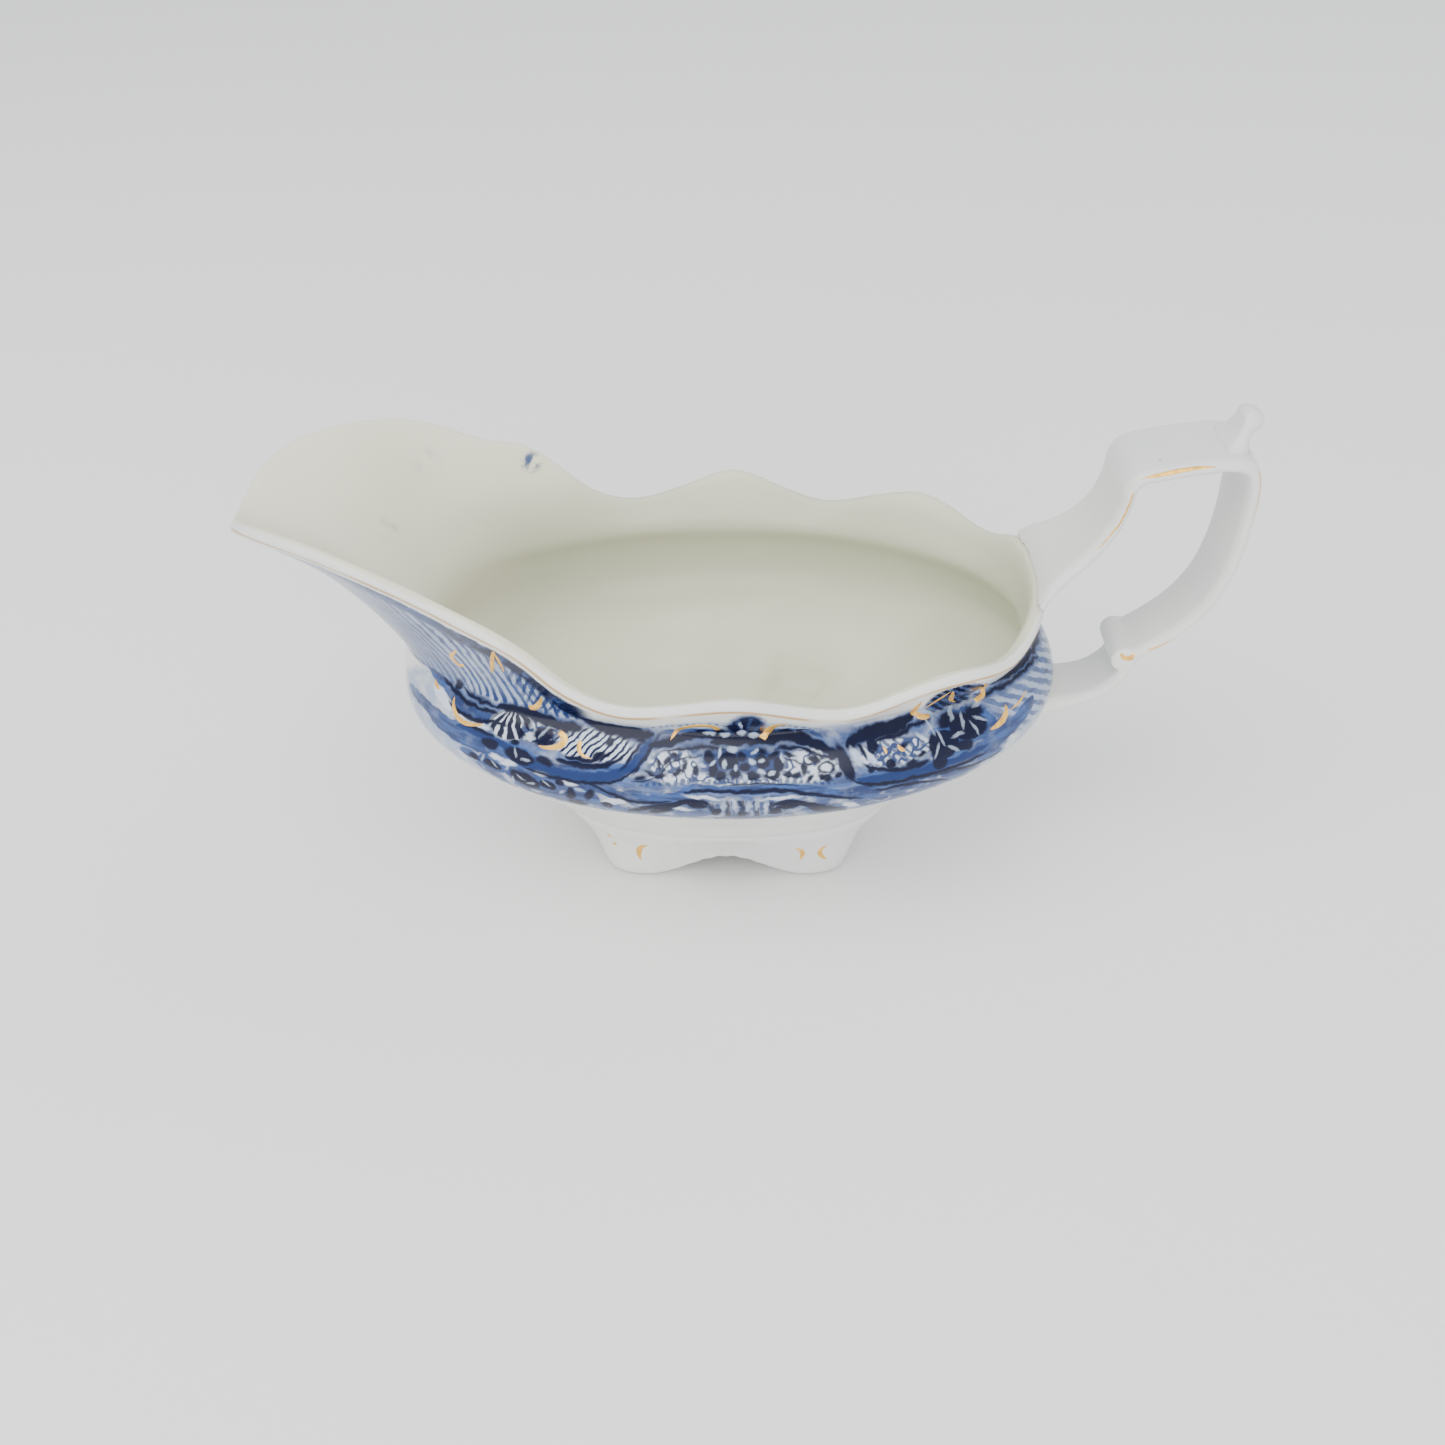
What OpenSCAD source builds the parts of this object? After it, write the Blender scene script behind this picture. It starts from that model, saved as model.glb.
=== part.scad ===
// Cream jug in the shape of a small sauce boat: a lobed oval bowl with a broad
// pouring lip, a foot with four toes, a strap handle and a thumb rest.
// X runs along the jug with the handle at +X, Z is up, and z = 0 is the table.

/* [Bowl] */
// Length of the belly at its widest ring
belly_length = 138; // [134:0.5:142]
// Width of the belly at its widest ring
belly_width = 94; // [88:0.5:98]
// Height of the widest ring above the table
belly_height = 42; // [38:0.5:46]
// Depth of the neck's groove below the lip, measured inwards from the belly
neck_inset = 6.2; // [3:0.1:8]
// Thickness of the wall and of the rounded lip
wall = 3.2; // [2.4:0.1:4]
// Thickness of the floor of the bowl
floor_thickness = 4; // [3:0.1:6]

/* [Pouring lip] */
// How far the tip of the lip reaches from the middle of the jug
lip_reach = 102.5; // [98:0.5:106]
// Height of the lip's edge at the tip
lip_tip_height = 78; // [74:0.5:82]
// Height of the crest on each side of the lip
lip_crest_height = 86.5; // [82:0.5:90]

/* [Foot] */
// Height of the foot
foot_height = 13.5; // [11:0.5:15]
// Length of the foot where it stands
foot_length = 52; // [46:0.5:56]
// Width of the foot where it stands
foot_width = 40; // [38:0.5:44]
// Thickness of the foot's wall
foot_wall = 4.6; // [3.5:0.1:6]
// Height of the arch between two toes at the front and back
side_arch = 5.5; // [2:0.5:8]
// Height of the arch between two toes at the ends
end_arch = 4; // [2:0.5:6]

/* [Handle] */
// Width of the flat top of the handle
handle_width = 20; // [16:0.5:22]
// Thickness of the handle's strap
strap = 3.6; // [3:0.1:4.5]
// Height of the thumb rest above the table
thumb_height = 102.2; // [100:0.1:105]

/* [Fineness] */
// Facets around the bowl
facets = 96; // [48:4:108]

/* [Hidden] */
glaze = [0.93, 0.94, 0.93];

// ---- Curves ----

function flip(p) = [p[0], -p[1], p[2]];
function unit(v) = v / norm(v);
function mix(a, b, f) = a * (1 - f) + b * f;
// A smooth hump that is 1 at u = 0 and 0 from u = 1 on.
function hump(u) = abs(u) < 1 ? 0.5 + 0.5 * cos(180 * u) : 0;

// Knots are vectors whose first value is the key. The curve goes smoothly
// through them, and needs one knot beyond each end of the stretch it is asked for.
function knot_slope(k, i) = (k[i + 1] - k[i - 1]) / (k[i + 1][0] - k[i - 1][0]);
function span(k, key, i = 1) = key <= k[i + 1][0] || i >= len(k) - 3 ? i : span(k, key, i + 1);
function on_span(k, i, u) =
    let (h = k[i + 1][0] - k[i][0], u2 = u * u, u3 = u2 * u)
    k[i] * (2 * u3 - 3 * u2 + 1) + knot_slope(k, i) * h * (u3 - 2 * u2 + u)
    + k[i + 1] * (3 * u2 - 2 * u3) + knot_slope(k, i + 1) * h * (u3 - u2);
function through(k, key) =
    let (i = span(k, key)) on_span(k, i, (key - k[i][0]) / (k[i + 1][0] - k[i][0]));

// Adds one knot beyond each end, in line with the two nearest.
function extended(k) = concat([2 * k[0] - k[1]], k, [2 * k[len(k) - 1] - k[len(k) - 2]]);
// Puts the running length in front of each point, as its key.
function keyed(points, i = 0, run = 0) = i >= len(points) ? [] :
    concat([concat([run], points[i])],
           keyed(points, i + 1, run + (i + 1 < len(points) ? norm(points[i + 1] - points[i]) : 0)));

// A rounded oval: power 2 is an ellipse, and a higher power is squarer.
function oval(bearing, half_x, half_y, power) =
    let (c = cos(bearing), s = sin(bearing),
         k = pow(pow(abs(c), power) + pow(abs(s), power), -1 / power))
    [half_x * c * k, half_y * s * k];

// ---- Bowl and lip ----
// Bearings run from 0 at the handle through 90 at one side to 180 at the lip.
// The rings below lie in the middle of the wall.

foot_x = -3.2;
belly_x = -2.7;
// Half length and half width of the bowl's flat underside, where the foot is joined.
base_x = 36.5;
base_y = 24.5;
// How far the middle of the floor's rounded edge lies above the foot.
base_lift = 1.8;
rim = [
    // bearing, x, y, z of the top of the rim
    [0, 60.5, 0, 67],                                // root of the handle
    [12, 60, 9, 66.8],
    [20, 58.5, 15.8, 65.5],
    [27, 55.5, 21.3, 62.6],
    [34, 52, 26.4, 61.8],                            // dip beside the handle
    [43, 46.8, 32.4, 63.4],
    [52, 40, 36.4, 64.8],                            // rear lobe
    [61, 31.5, 38.8, 63],
    [68, 24.5, 40.6, 60.6],
    [74, 18.3, 41.8, 59.8],                          // dip
    [81, 9.5, 44, 62.2],
    [90, -1.5, 46.3, 65.6],                          // middle lobe
    [98, -11, 44.3, 63.1],
    [106, -20, 42.2, 60.8],
    [111, -26, 40.7, 60.8],                          // dip
    [118, -34, 39, 64.3],
    [125, -41.5, 38.3, 71.2],
    [130, -46.8, 38.4, 75.2],
    [134, -51.5, 36.9, 77],
    [137, -55.2, 34.7, 77.6],                        // notch
    [141, -61, 34, 80.8],
    [148, -71.5, 31.6, 84.8],
    [156, -83, 26, lip_crest_height],                // crest of the lip
    [164, -92.5, 19.8, lip_crest_height - 0.6],
    [170, -98, 14, 84],
    [175, -101, 7.5, 80.5],
    [180, -lip_reach, 0, lip_tip_height],            // tip
];
rim_knots = concat([[-rim[1][0], rim[1][1], -rim[1][2], rim[1][3]]], rim,
                   [let (q = rim[len(rim) - 2]) [360 - q[0], q[1], -q[2], q[3]]]);

function at(xy, z) = [xy[0], xy[1], z];
function ring(bearing, half_x, half_y, power, x, z) =
    at(oval(bearing, half_x, half_y, power) + [x, 0], z);

// Lip and handle rise out of the neck, so the neck lifts towards both ends.
function towards_lip(bearing) = hump((180 - bearing) / 75);
function towards_handle(bearing) = hump(bearing / 60);

function rim_point(bearing) = let (k = through(rim_knots, bearing)) [k[1], k[2], k[3]];
function base_edge(bearing) = ring(bearing, base_x, base_y, 2.4, foot_x, foot_height);
function base_ring(bearing) = ring(bearing, base_x, base_y, 2.4, foot_x, foot_height + base_lift);
function low_ring(bearing) = ring(bearing, belly_length / 2 - 22, belly_width / 2 - 16.5, 2.2,
                                  belly_x - 2.2, belly_height - 16);
function hip_ring(bearing) = ring(bearing, belly_length / 2 - 9.5, belly_width / 2 - 6.5, 2.15,
                                  belly_x - 1.4, belly_height - 7.7);
function belly_ring(bearing) = ring(bearing, belly_length / 2 - wall / 2, belly_width / 2 - wall / 2,
                                    2.1, belly_x, belly_height);
function shoulder_ring(bearing) = ring(bearing, belly_length / 2 - 3.4, belly_width / 2 - 3.4, 2.1,
                                       belly_x, belly_height + 8 + 2 * towards_lip(bearing));
function neck_ring(bearing) =
    let (ease = 6.3 * towards_lip(bearing) + 0.4 * towards_handle(bearing))
    ring(bearing, belly_length / 2 - wall / 2 - neck_inset + ease,
         belly_width / 2 - wall / 2 - neck_inset, 2.1,
         belly_x, belly_height + 12 + 3 * towards_lip(bearing));
// Half way up the flare between the neck and the rim, hollowed by a little sag.
function flare_ring(bearing) =
    let (n = neck_ring(bearing), r = rim_point(bearing), rise = norm(r - n))
    mix(n, r, 0.5) + [0, 0, 0.13 * towards_lip(bearing) - 0.02] * rise
    + at(oval(bearing, 0, -0.05, 2) * rise, 0);

function half_stations(bearing) = [
    base_ring(bearing), low_ring(bearing), hip_ring(bearing), belly_ring(bearing),
    shoulder_ring(bearing), neck_ring(bearing), flare_ring(bearing), rim_point(bearing)];
function stations(bearing) = bearing <= 180 ? half_stations(bearing)
    : [for (p = half_stations(360 - bearing)) flip(p)];

// Rows of the wall between each pair of rings, from the base to the rim.
rows_between = [3, 3, 2, 2, 2, 2, 3];
row_places = concat([for (s = [0:len(rows_between) - 1]) for (j = [0:rows_between[s] - 1])
                     [s + 1, j / rows_between[s]]],
                    [[len(rows_between), 1]]);
last_row = len(row_places) - 1;

function meridian(bearing) = let (k = extended(keyed(stations(bearing))))
    [for (r = row_places) let (q = on_span(k, r[0], r[1])) [q[1], q[2], q[3]]];
middle = [for (i = [0:facets - 1]) meridian(360 * i / facets)];

function grid_along(g, i, j) = g[i][min(j + 1, len(g[i]) - 1)] - g[i][max(j - 1, 0)];
function grid_around(g, i, j) = g[(i + 1) % len(g)][j] - g[(i + len(g) - 1) % len(g)][j];
function grid_normal(g, i, j) = unit(cross(grid_around(g, i, j), grid_along(g, i, j)));

// The inside is smoother than the outside: the wall is thicker behind the belly
// and thinner behind the neck.
function inside_fill(row) = let (place = row_places[row][0] + row_places[row][1])
    1.4 * hump((place - 4) / 2) - 0.8 * hump((place - 6) / 1.5);

// The lip is half a circle that joins the outer and inner walls.
lip_angles = [30, 60, 90, 120, 150];
function bowl_column(i) =
    let (along = unit(grid_along(middle, i, last_row)),
         across = grid_normal(middle, i, last_row),
         centre = middle[i][last_row] - along * wall / 2)
    concat([base_edge(360 * i / facets)],
           [for (j = [1:last_row - 1]) middle[i][j] + grid_normal(middle, i, j) * wall / 2],
           [for (a = lip_angles) centre + (across * cos(a) + along * sin(a)) * wall / 2],
           [for (j = [last_row - 1:-1:1])
            middle[i][j] - grid_normal(middle, i, j) * (wall / 2 + inside_fill(j))],
           [middle[i][0] + [0, 0, floor_thickness - base_lift]]);

// Faces of a surface whose columns go round and whose rows run along each column.
function face_pair(a, b, c, d) = [[a, b, c], [a, c, d]];
function sheet_faces(columns, rows) = [for (i = [0:columns - 1]) for (j = [0:rows - 2])
    let (n = (i + 1) % columns)
    each face_pair(i * rows + j, i * rows + j + 1, n * rows + j + 1, n * rows + j)];
// A fan from one point to the end row of such a surface.
function fan_faces(columns, rows, row, hub, up) = [for (i = [0:columns - 1])
    let (a = i * rows + row, b = (i + 1) % columns * rows + row) up ? [hub, b, a] : [hub, a, b]];

module bowl_skin(columns, bottom, top) {
    rows = len(columns[0]);
    n = len(columns);
    polyhedron(
        points = concat([for (c = columns) each c], [bottom, top]),
        faces = concat(sheet_faces(n, rows), fan_faces(n, rows, 0, n * rows, false),
                       fan_faces(n, rows, rows - 1, n * rows + 1, true)),
        convexity = 10);
}

module bowl() {
    columns = [for (i = [0:facets - 1]) bowl_column(i)];
    bowl_skin(columns, [foot_x, 0, foot_height], [foot_x, 0, foot_height + floor_thickness]);
}

module body() {
    color(glaze) bowl();
}

// The bowl filled to just below its rim, which the handle is cut back to.
module filled_bowl() {
    top_of_lip = last_row - 1 + (len(lip_angles) + 1) / 2;
    columns = [for (i = [0:facets - 1]) let (c = bowl_column(i))
        [for (j = [0:top_of_lip]) c[j]]];
    bowl_skin(columns, [foot_x, 0, foot_height], [foot_x, 0, belly_height + 20]);
}

// ---- Foot ----

toe_bearing = 44;
side_arch_span = 32;
end_arch_span = 33;
foot_round = 1.2;
function quarter(bearing) = let (b = bearing % 180) b > 90 ? 180 - b : b;
function lift(bearing) = let (q = quarter(bearing))
    side_arch * pow(hump((90 - q) / side_arch_span), 0.75)
    + end_arch * pow(hump(q / end_arch_span), 0.75);
function toe(bearing) = hump((quarter(bearing) - toe_bearing) / 24);
// Outline of the foot at a share of its height, 0 at the table and 1 at the bowl.
function foot_outline(bearing, share, inset) =
    let (s = pow(share, 1.5))
    oval(bearing, mix(foot_length / 2, base_x, s) - inset, mix(foot_width / 2, base_y, s) - inset,
         mix(3.8, 2.4, s)) * (1 + 0.1 * toe(bearing) * hump((share - 0.1) / 0.8)) + [foot_x, 0];
function foot_point(bearing, share, inset) =
    let (low = lift(bearing)) at(foot_outline(bearing, share, inset), mix(low, foot_height, share));
foot_shares = [0.05, 0.14, 0.25, 0.4, 0.55, 0.7, 0.85, 1];

module foot() {
    columns = [for (i = [0:facets - 1]) let (b = 360 * i / facets) concat(
        [for (s = foot_shares) foot_point(b, s, 0)],
        [foot_point(b, 1, foot_wall), foot_point(b, 0.5, foot_wall), foot_point(b, 0.05, foot_wall),
         foot_point(b, 0, foot_wall - 0.5), foot_point(b, 0, foot_round)])];
    rows = len(columns[0]);
    color(glaze)
    polyhedron(
        points = [for (c = columns) each c],
        faces = [for (i = [0:facets - 1]) for (j = [0:rows - 1])
            let (n = (i + 1) % facets, k = (j + 1) % rows)
            each face_pair(i * rows + j, i * rows + k, n * rows + k, n * rows + j)],
        convexity = 6);
}

// ---- Handle ----
// Each route is a list of x, z, half width, thickness and bow: how far the strap's
// edges bend back towards the bowl. The strap starts inside the bowl's wall.

half_w = handle_width / 2;
grip_w = half_w - 2;
strap_route = [
    [59.6, 61.4, 15.2, 2.4, 2.2],
    [60.2, 65, 14.6, 2.9, 1.7],
    [62, 68.3, 13.2, 3.2, 1],
    [65.4, 71.1, 11.4, strap, 0.4],
    [69.6, 75.2, 10.2, strap, 0],
    [72.8, 80, half_w - 0.4, strap, 0],
    [74.5, 85.4, half_w - 0.3, strap, 0],
    [75, 89, half_w - 0.1, strap, 0],
    [76.8, 91.3, half_w, strap, 0],                  // left corner of the flat top
    [80.6, 92.2, half_w, strap, 0],
    [87.5, 93.5, half_w, strap, 0],
    [94, 94.2, half_w, strap, 0],
    [97.6, 92.9, half_w, strap, 0],                  // right corner
    [98.7, 89.4, half_w - 0.1, strap, 0],
    [98.8, 82, half_w - 0.8, strap, 0],
    [98.4, 75, half_w - 1.2, strap, 0],
    [97.2, 68.4, half_w - 1.6, strap, 0],
    [94.8, 62, grip_w, strap, 0],
    [90.8, 56.4, grip_w - 0.3, strap, 0],
    [86, 52.2, grip_w - 0.5, strap, 0],
    [81.4, 49, grip_w - 0.6, strap, 0],
];
lower_route = [
    [81.6, 50, grip_w - 1, strap, 0],
    [80.8, 46.4, grip_w - 1, strap, 0],
    [79.2, 42.6, grip_w - 1, strap, 0],
    [75.2, 39.2, grip_w - 1, strap, 0],
    [70, 37.4, grip_w - 0.7, strap + 0.4, 0],
    [63, 36.4, grip_w, strap + 1.6, 0],
];
// One ring of the strap's cross-section: across the width and through the thickness.
section = [for (a = [15:30:345]) oval(a, 1, 1, 4)];
steps = 4;

function sampled(route) =
    let (k = extended(keyed(route)), n = len(route) - 1)
    [for (s = [0:n * steps]) let (i = min(floor(s / steps), n - 1)) on_span(k, i + 1, s / steps - i)];

module swept(route) {
    places = sampled(route);
    n = len(places);
    m = len(section);
    rings = [for (i = [0:n - 1])
        let (q = places[i], d = places[min(i + 1, n - 1)] - places[max(i - 1, 0)],
             out = unit([-d[2], d[1]]))
        [for (c = section) [q[1] + out[0] * c[1] * q[4] / 2 - q[5] * c[0] * c[0], c[0] * q[3],
                            q[2] + out[1] * c[1] * q[4] / 2]]];
    polyhedron(
        points = [for (r = rings) each r],
        faces = concat([for (i = [0:n - 2]) for (j = [0:m - 1]) let (k = (j + 1) % m)
                        each face_pair(i * m + j, (i + 1) * m + j, (i + 1) * m + k, i * m + k)],
                       [[for (j = [0:m - 1]) j], [for (j = [m - 1:-1:0]) (n - 1) * m + j]]),
        convexity = 10);
}

// The rolled end of the grip, a short roll across the strap.
knuckle_at = [79.8, 0, 48.2];
knuckle_r = 2.8;
module knuckle() {
    translate(knuckle_at) rotate([90, 0, 0])
        linear_extrude(height = 2 * grip_w - 2.4, center = true) circle(r = knuckle_r, $fn = 24);
}

module handle() {
    color(glaze)
    resize([0, 0, 0])
    difference() {
        union() {
            swept(strap_route);
            swept(lower_route);
            knuckle();
        }
        filled_bowl();
    }
}

// ---- Thumb rest ----

// A spur that leans back, narrow at its neck and rolled over at the top.
thumb_route = [
    [95.8, 92.6, 8.4, 5.4, 0],
    [96.6, 95.2, 6.8, 4.2, 0],
    [97, 97.4, 4.8, 2.8, 0],
    [97.4, 99.2, 3.8, 3, 0],
    [98, thumb_height - 2, 3.4, 4.6, 0],
    [98.5, thumb_height - 0.7, 2.8, 4.2, 0],
    [98.8, thumb_height, 1.4, 2.2, 0],
];

module thumb_rest() {
    color(glaze)
    resize([0, 0, 0])
    difference() {
        swept(thumb_route);
        swept(strap_route);
    }
}

body();
foot();
handle();
thumb_rest();
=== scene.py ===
"""A porcelain cream jug in the shape of a small sauce boat.

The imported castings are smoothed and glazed, the bowl is painted in flowing cobalt blue, and raised
gilding is laid over the painting. Lengths are in metres, apart from those of the painting, the gold
strokes and the smudges on the glaze, which are in millimetres.
"""

from __future__ import annotations

import logging
import math
from dataclasses import dataclass, field
from enum import Enum
from typing import Any, Callable, Sequence

import bmesh
import bpy
import numpy as np
from mathutils import Matrix, Vector
from mathutils.bvhtree import BVHTree


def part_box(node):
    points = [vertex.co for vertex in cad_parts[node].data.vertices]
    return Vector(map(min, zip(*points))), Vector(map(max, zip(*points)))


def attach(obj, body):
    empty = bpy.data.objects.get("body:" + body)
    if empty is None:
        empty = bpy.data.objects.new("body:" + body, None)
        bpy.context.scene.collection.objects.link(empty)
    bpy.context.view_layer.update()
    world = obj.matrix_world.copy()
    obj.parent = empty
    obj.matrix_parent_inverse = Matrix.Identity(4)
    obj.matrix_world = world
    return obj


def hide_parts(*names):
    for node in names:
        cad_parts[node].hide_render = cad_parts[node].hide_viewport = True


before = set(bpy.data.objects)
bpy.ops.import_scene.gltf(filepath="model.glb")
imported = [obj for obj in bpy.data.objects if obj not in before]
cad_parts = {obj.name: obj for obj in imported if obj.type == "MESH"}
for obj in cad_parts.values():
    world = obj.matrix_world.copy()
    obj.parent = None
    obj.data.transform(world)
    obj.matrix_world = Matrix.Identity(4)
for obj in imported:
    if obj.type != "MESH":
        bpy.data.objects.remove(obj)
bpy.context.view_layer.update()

log = logging.getLogger("cream_jug")

MM = 0.001
PAINTING = "painting"
DOUBLES = 2e-6

Colour = tuple[float, float, float]
Place = tuple[float, float]


# ---------------------------------------------------------------- shader maths


@dataclass(frozen=True)
class Signal:
    """A shader value: one output socket, with the usual operators as Math nodes."""

    bench: "Bench"
    socket: Any

    def _math(self, operation: str, *values: Any) -> "Signal":
        """Adds one Math node."""
        return self.bench.node("ShaderNodeMath", {"operation": operation}, dict(enumerate(values)))

    def __add__(self, other: Any) -> "Signal":
        """self + other."""
        return self._math("ADD", self, other)

    def __radd__(self, other: Any) -> "Signal":
        """other + self."""
        return self._math("ADD", other, self)

    def __sub__(self, other: Any) -> "Signal":
        """self - other."""
        return self._math("SUBTRACT", self, other)

    def __rsub__(self, other: Any) -> "Signal":
        """other - self."""
        return self._math("SUBTRACT", other, self)

    def __mul__(self, other: Any) -> "Signal":
        """self * other."""
        return self._math("MULTIPLY", self, other)

    def __rmul__(self, other: Any) -> "Signal":
        """other * self."""
        return self._math("MULTIPLY", other, self)

    def __truediv__(self, other: Any) -> "Signal":
        """self / other."""
        return self._math("DIVIDE", self, other)

    def __abs__(self) -> "Signal":
        """The size of self."""
        return self._math("ABSOLUTE", self)

    def sine(self) -> "Signal":
        """The sine of self, in radians."""
        return self._math("SINE", self)

    def square_plus(self, other: Any) -> "Signal":
        """self * self + other."""
        return self._math("MULTIPLY_ADD", self, self, other)

    def root(self) -> "Signal":
        """The square root of self."""
        return self._math("SQRT", self)

    def over(self, other: Any) -> "Signal":
        """The larger of self and other, which lays one painted mask over another."""
        return self._math("MAXIMUM", self, other)

    def within(self, other: Any) -> "Signal":
        """The smaller of self and other, which keeps one mask inside another."""
        return self._math("MINIMUM", self, other)

    def fade(self, start: float, end: float, top: float = 1.0) -> "Signal":
        """A smooth step.

        Args:
            start: Where the result is 0.
            end: Where the result is top, on either side of start.
            top: The result past end.

        Returns:
            The stepped value.
        """
        if start < end:
            limits = {"From Min": start, "From Max": end, "To Min": 0.0, "To Max": top}
        else:
            limits = {"From Min": end, "From Max": start, "To Min": top, "To Max": 0.0}
        smooth = {"interpolation_type": "SMOOTHSTEP", "clamp": False}
        return self.bench.node("ShaderNodeMapRange", smooth, {"Value": self, **limits})


class Bench:
    """Makes and links the nodes of one material."""

    def __init__(self, name: str) -> None:
        """Starts an empty material.

        Args:
            name: The material's name.
        """
        self.material = bpy.data.materials.new(name)
        self.material.use_nodes = True
        self.tree = self.material.node_tree
        self.tree.nodes.clear()
        self.place = self.node("ShaderNodeTexCoord", {}, {}, output="Object")

    def node(
        self, kind: str, settings: dict[str, Any], inputs: dict[Any, Any], output: Any = 0
    ) -> Signal:
        """Makes one node.

        Args:
            kind: The node's type.
            settings: Properties to set first. A curve is a list of its points.
            inputs: Sockets by name or number, each with a value or a Signal to link.
            output: The output to return.

        Returns:
            The chosen output.
        """
        made = self.tree.nodes.new(kind)
        for key, value in settings.items():
            if key == "curve":
                self._fill_curve(made.mapping, value)
            else:
                setattr(made, key, value)
        for key, value in inputs.items():
            if isinstance(value, Signal):
                self.tree.links.new(value.socket, made.inputs[key])
            else:
                made.inputs[key].default_value = value
        return Signal(self, made.outputs[output] if made.outputs else None)

    @staticmethod
    def _fill_curve(mapping: Any, places: Sequence[Place]) -> None:
        """Puts points on a float curve.

        Args:
            mapping: The curve node's mapping.
            places: The points.
        """
        points = mapping.curves[0].points
        while len(points) < len(places):
            points.new(0.5, 0.5)
        for point, place in zip(points, places):
            point.location = place
        mapping.update()

    def mix(self, factor: Any, below: Any, above: Any) -> Signal:
        """Lays one colour over another.

        Args:
            factor: How much of the upper colour shows.
            below: The lower colour.
            above: The upper colour.

        Returns:
            The mixed colour.
        """
        rgba = [(*c, 1.0) if isinstance(c, tuple) else c for c in (below, above)]
        return self.node(
            "ShaderNodeMix",
            {"data_type": "RGBA"},
            {"Factor": factor, 6: rgba[0], 7: rgba[1]},
            output=2,
        )

    def noise(self, scale: float, detail: float = 2.0, where: Signal | None = None) -> Signal:
        """Soft noise from 0 to 1 over the object.

        Args:
            scale: Features to the metre.
            detail: Octaves of finer noise.
            where: The coordinates, or None for the object's own.

        Returns:
            The noise value.
        """
        return self.node(
            "ShaderNodeTexNoise",
            {},
            {"Vector": where or self.place, "Scale": scale, "Detail": detail},
        )

    def finish(self, sockets: dict[str, Any]) -> bpy.types.Material:
        """Adds the surface shader and the output.

        Args:
            sockets: The surface shader's sockets, with their values or links.

        Returns:
            The finished material.
        """
        surface = self.node("ShaderNodeBsdfPrincipled", {}, sockets)
        self.node("ShaderNodeOutputMaterial", {}, {"Surface": surface})
        return self.material


# ---------------------------------------------------------------- finishes


@dataclass(frozen=True)
class Smudge:
    """A faint blue mark left on the glaze by a painter's finger, with lengths in millimetres."""

    place: tuple[float, float, float]
    radius: float
    strength: float


@dataclass(frozen=True)
class Porcelain:
    """White porcelain under a clear glaze, with the small faults of hand dipping and an optional painted
    shade on the inner wall.

    A grain is a number of features to the metre.
    """

    name: str
    body: Colour
    pooled: Colour
    roughness: float = 0.14
    gloss: float = 0.20
    coat: float = 0.05
    ripple: float = 0.10
    pool_grain: float = 28.0
    speck_grain: float = 95.0
    wave_grain: float = 95.0
    pit_grain: float = 900.0
    speck: Colour = (0.22, 0.20, 0.17)
    smudge_blue: Colour = (0.035, 0.075, 0.20)
    smudges: tuple[Smudge, ...] = ()
    # Painted shade: a darker cream laid on the inner wall below the rim, or None for none.
    painted_inner_shade: Colour | None = None

    def surface(
        self, bench: Bench, painted: Callable[[Signal], Signal] | None = None
    ) -> dict[str, Any]:
        """The sockets of the glazed surface.

        Args:
            bench: The material's bench.
            painted: Adds painting to the bare colour, or None for plain ware.

        Returns:
            Values and links for the surface shader.
        """
        tone = bench.noise(self.pool_grain, 3.0)
        colour = bench.mix(tone.fade(0.35, 0.75), self.body, self.pooled)
        specks = bench.node(
            "ShaderNodeTexVoronoi", {}, {"Vector": bench.place, "Scale": self.speck_grain}
        )
        rare = bench.noise(60.0, 0.0).fade(0.60, 0.66)
        colour = bench.mix(specks.fade(0.055, 0.03, 0.5) * rare, colour, self.speck)
        # Painted shade: the inner wall from about 26 to 72 mm up, away from the lip, is mixed towards a
        # darker cream where shade falls under the rim.
        if self.painted_inner_shade:
            x, z = (
                bench.node("ShaderNodeSeparateXYZ", {}, {"Vector": bench.place}, output=axis)
                for axis in "XZ"
            )
            wall = z.fade(0.026, 0.042).within(z.fade(0.072, 0.058)).within(x.fade(-0.068, -0.044))
            colour = bench.mix(wall * 0.9, colour, self.painted_inner_shade)
        for smudge in self.smudges:
            away = bench.node(
                "ShaderNodeVectorMath",
                {"operation": "DISTANCE"},
                {0: bench.place, 1: tuple(c * MM for c in smudge.place)},
                output=1,
            )
            mask = away.fade(smudge.radius * MM, 0.3 * smudge.radius * MM, smudge.strength)
            patchy = mask * bench.noise(420.0, 3.0).fade(0.40, 0.62)
            colour = bench.mix(patchy, colour, self.smudge_blue)
        if painted:
            colour = painted(colour)
        waves = bench.noise(self.wave_grain, 2.0)
        pits = bench.noise(self.pit_grain, 1.0).fade(0.70, 0.82)
        height = waves - 0.35 * pits
        normal = bench.node(
            "ShaderNodeBump",
            {},
            {"Strength": self.ripple, "Distance": 0.0006, "Height": height},
        )
        return {
            "Base Color": colour,
            "Roughness": self.roughness + 0.07 * tone,
            "Normal": normal,
            "IOR": 1.5,
            "Specular IOR Level": self.gloss,
            "Coat Weight": self.coat,
            "Coat Roughness": 0.04,
        }

    def make(self) -> bpy.types.Material:
        """The material for unpainted ware."""
        bench = Bench(self.name)
        return bench.finish(self.surface(bench))


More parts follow.
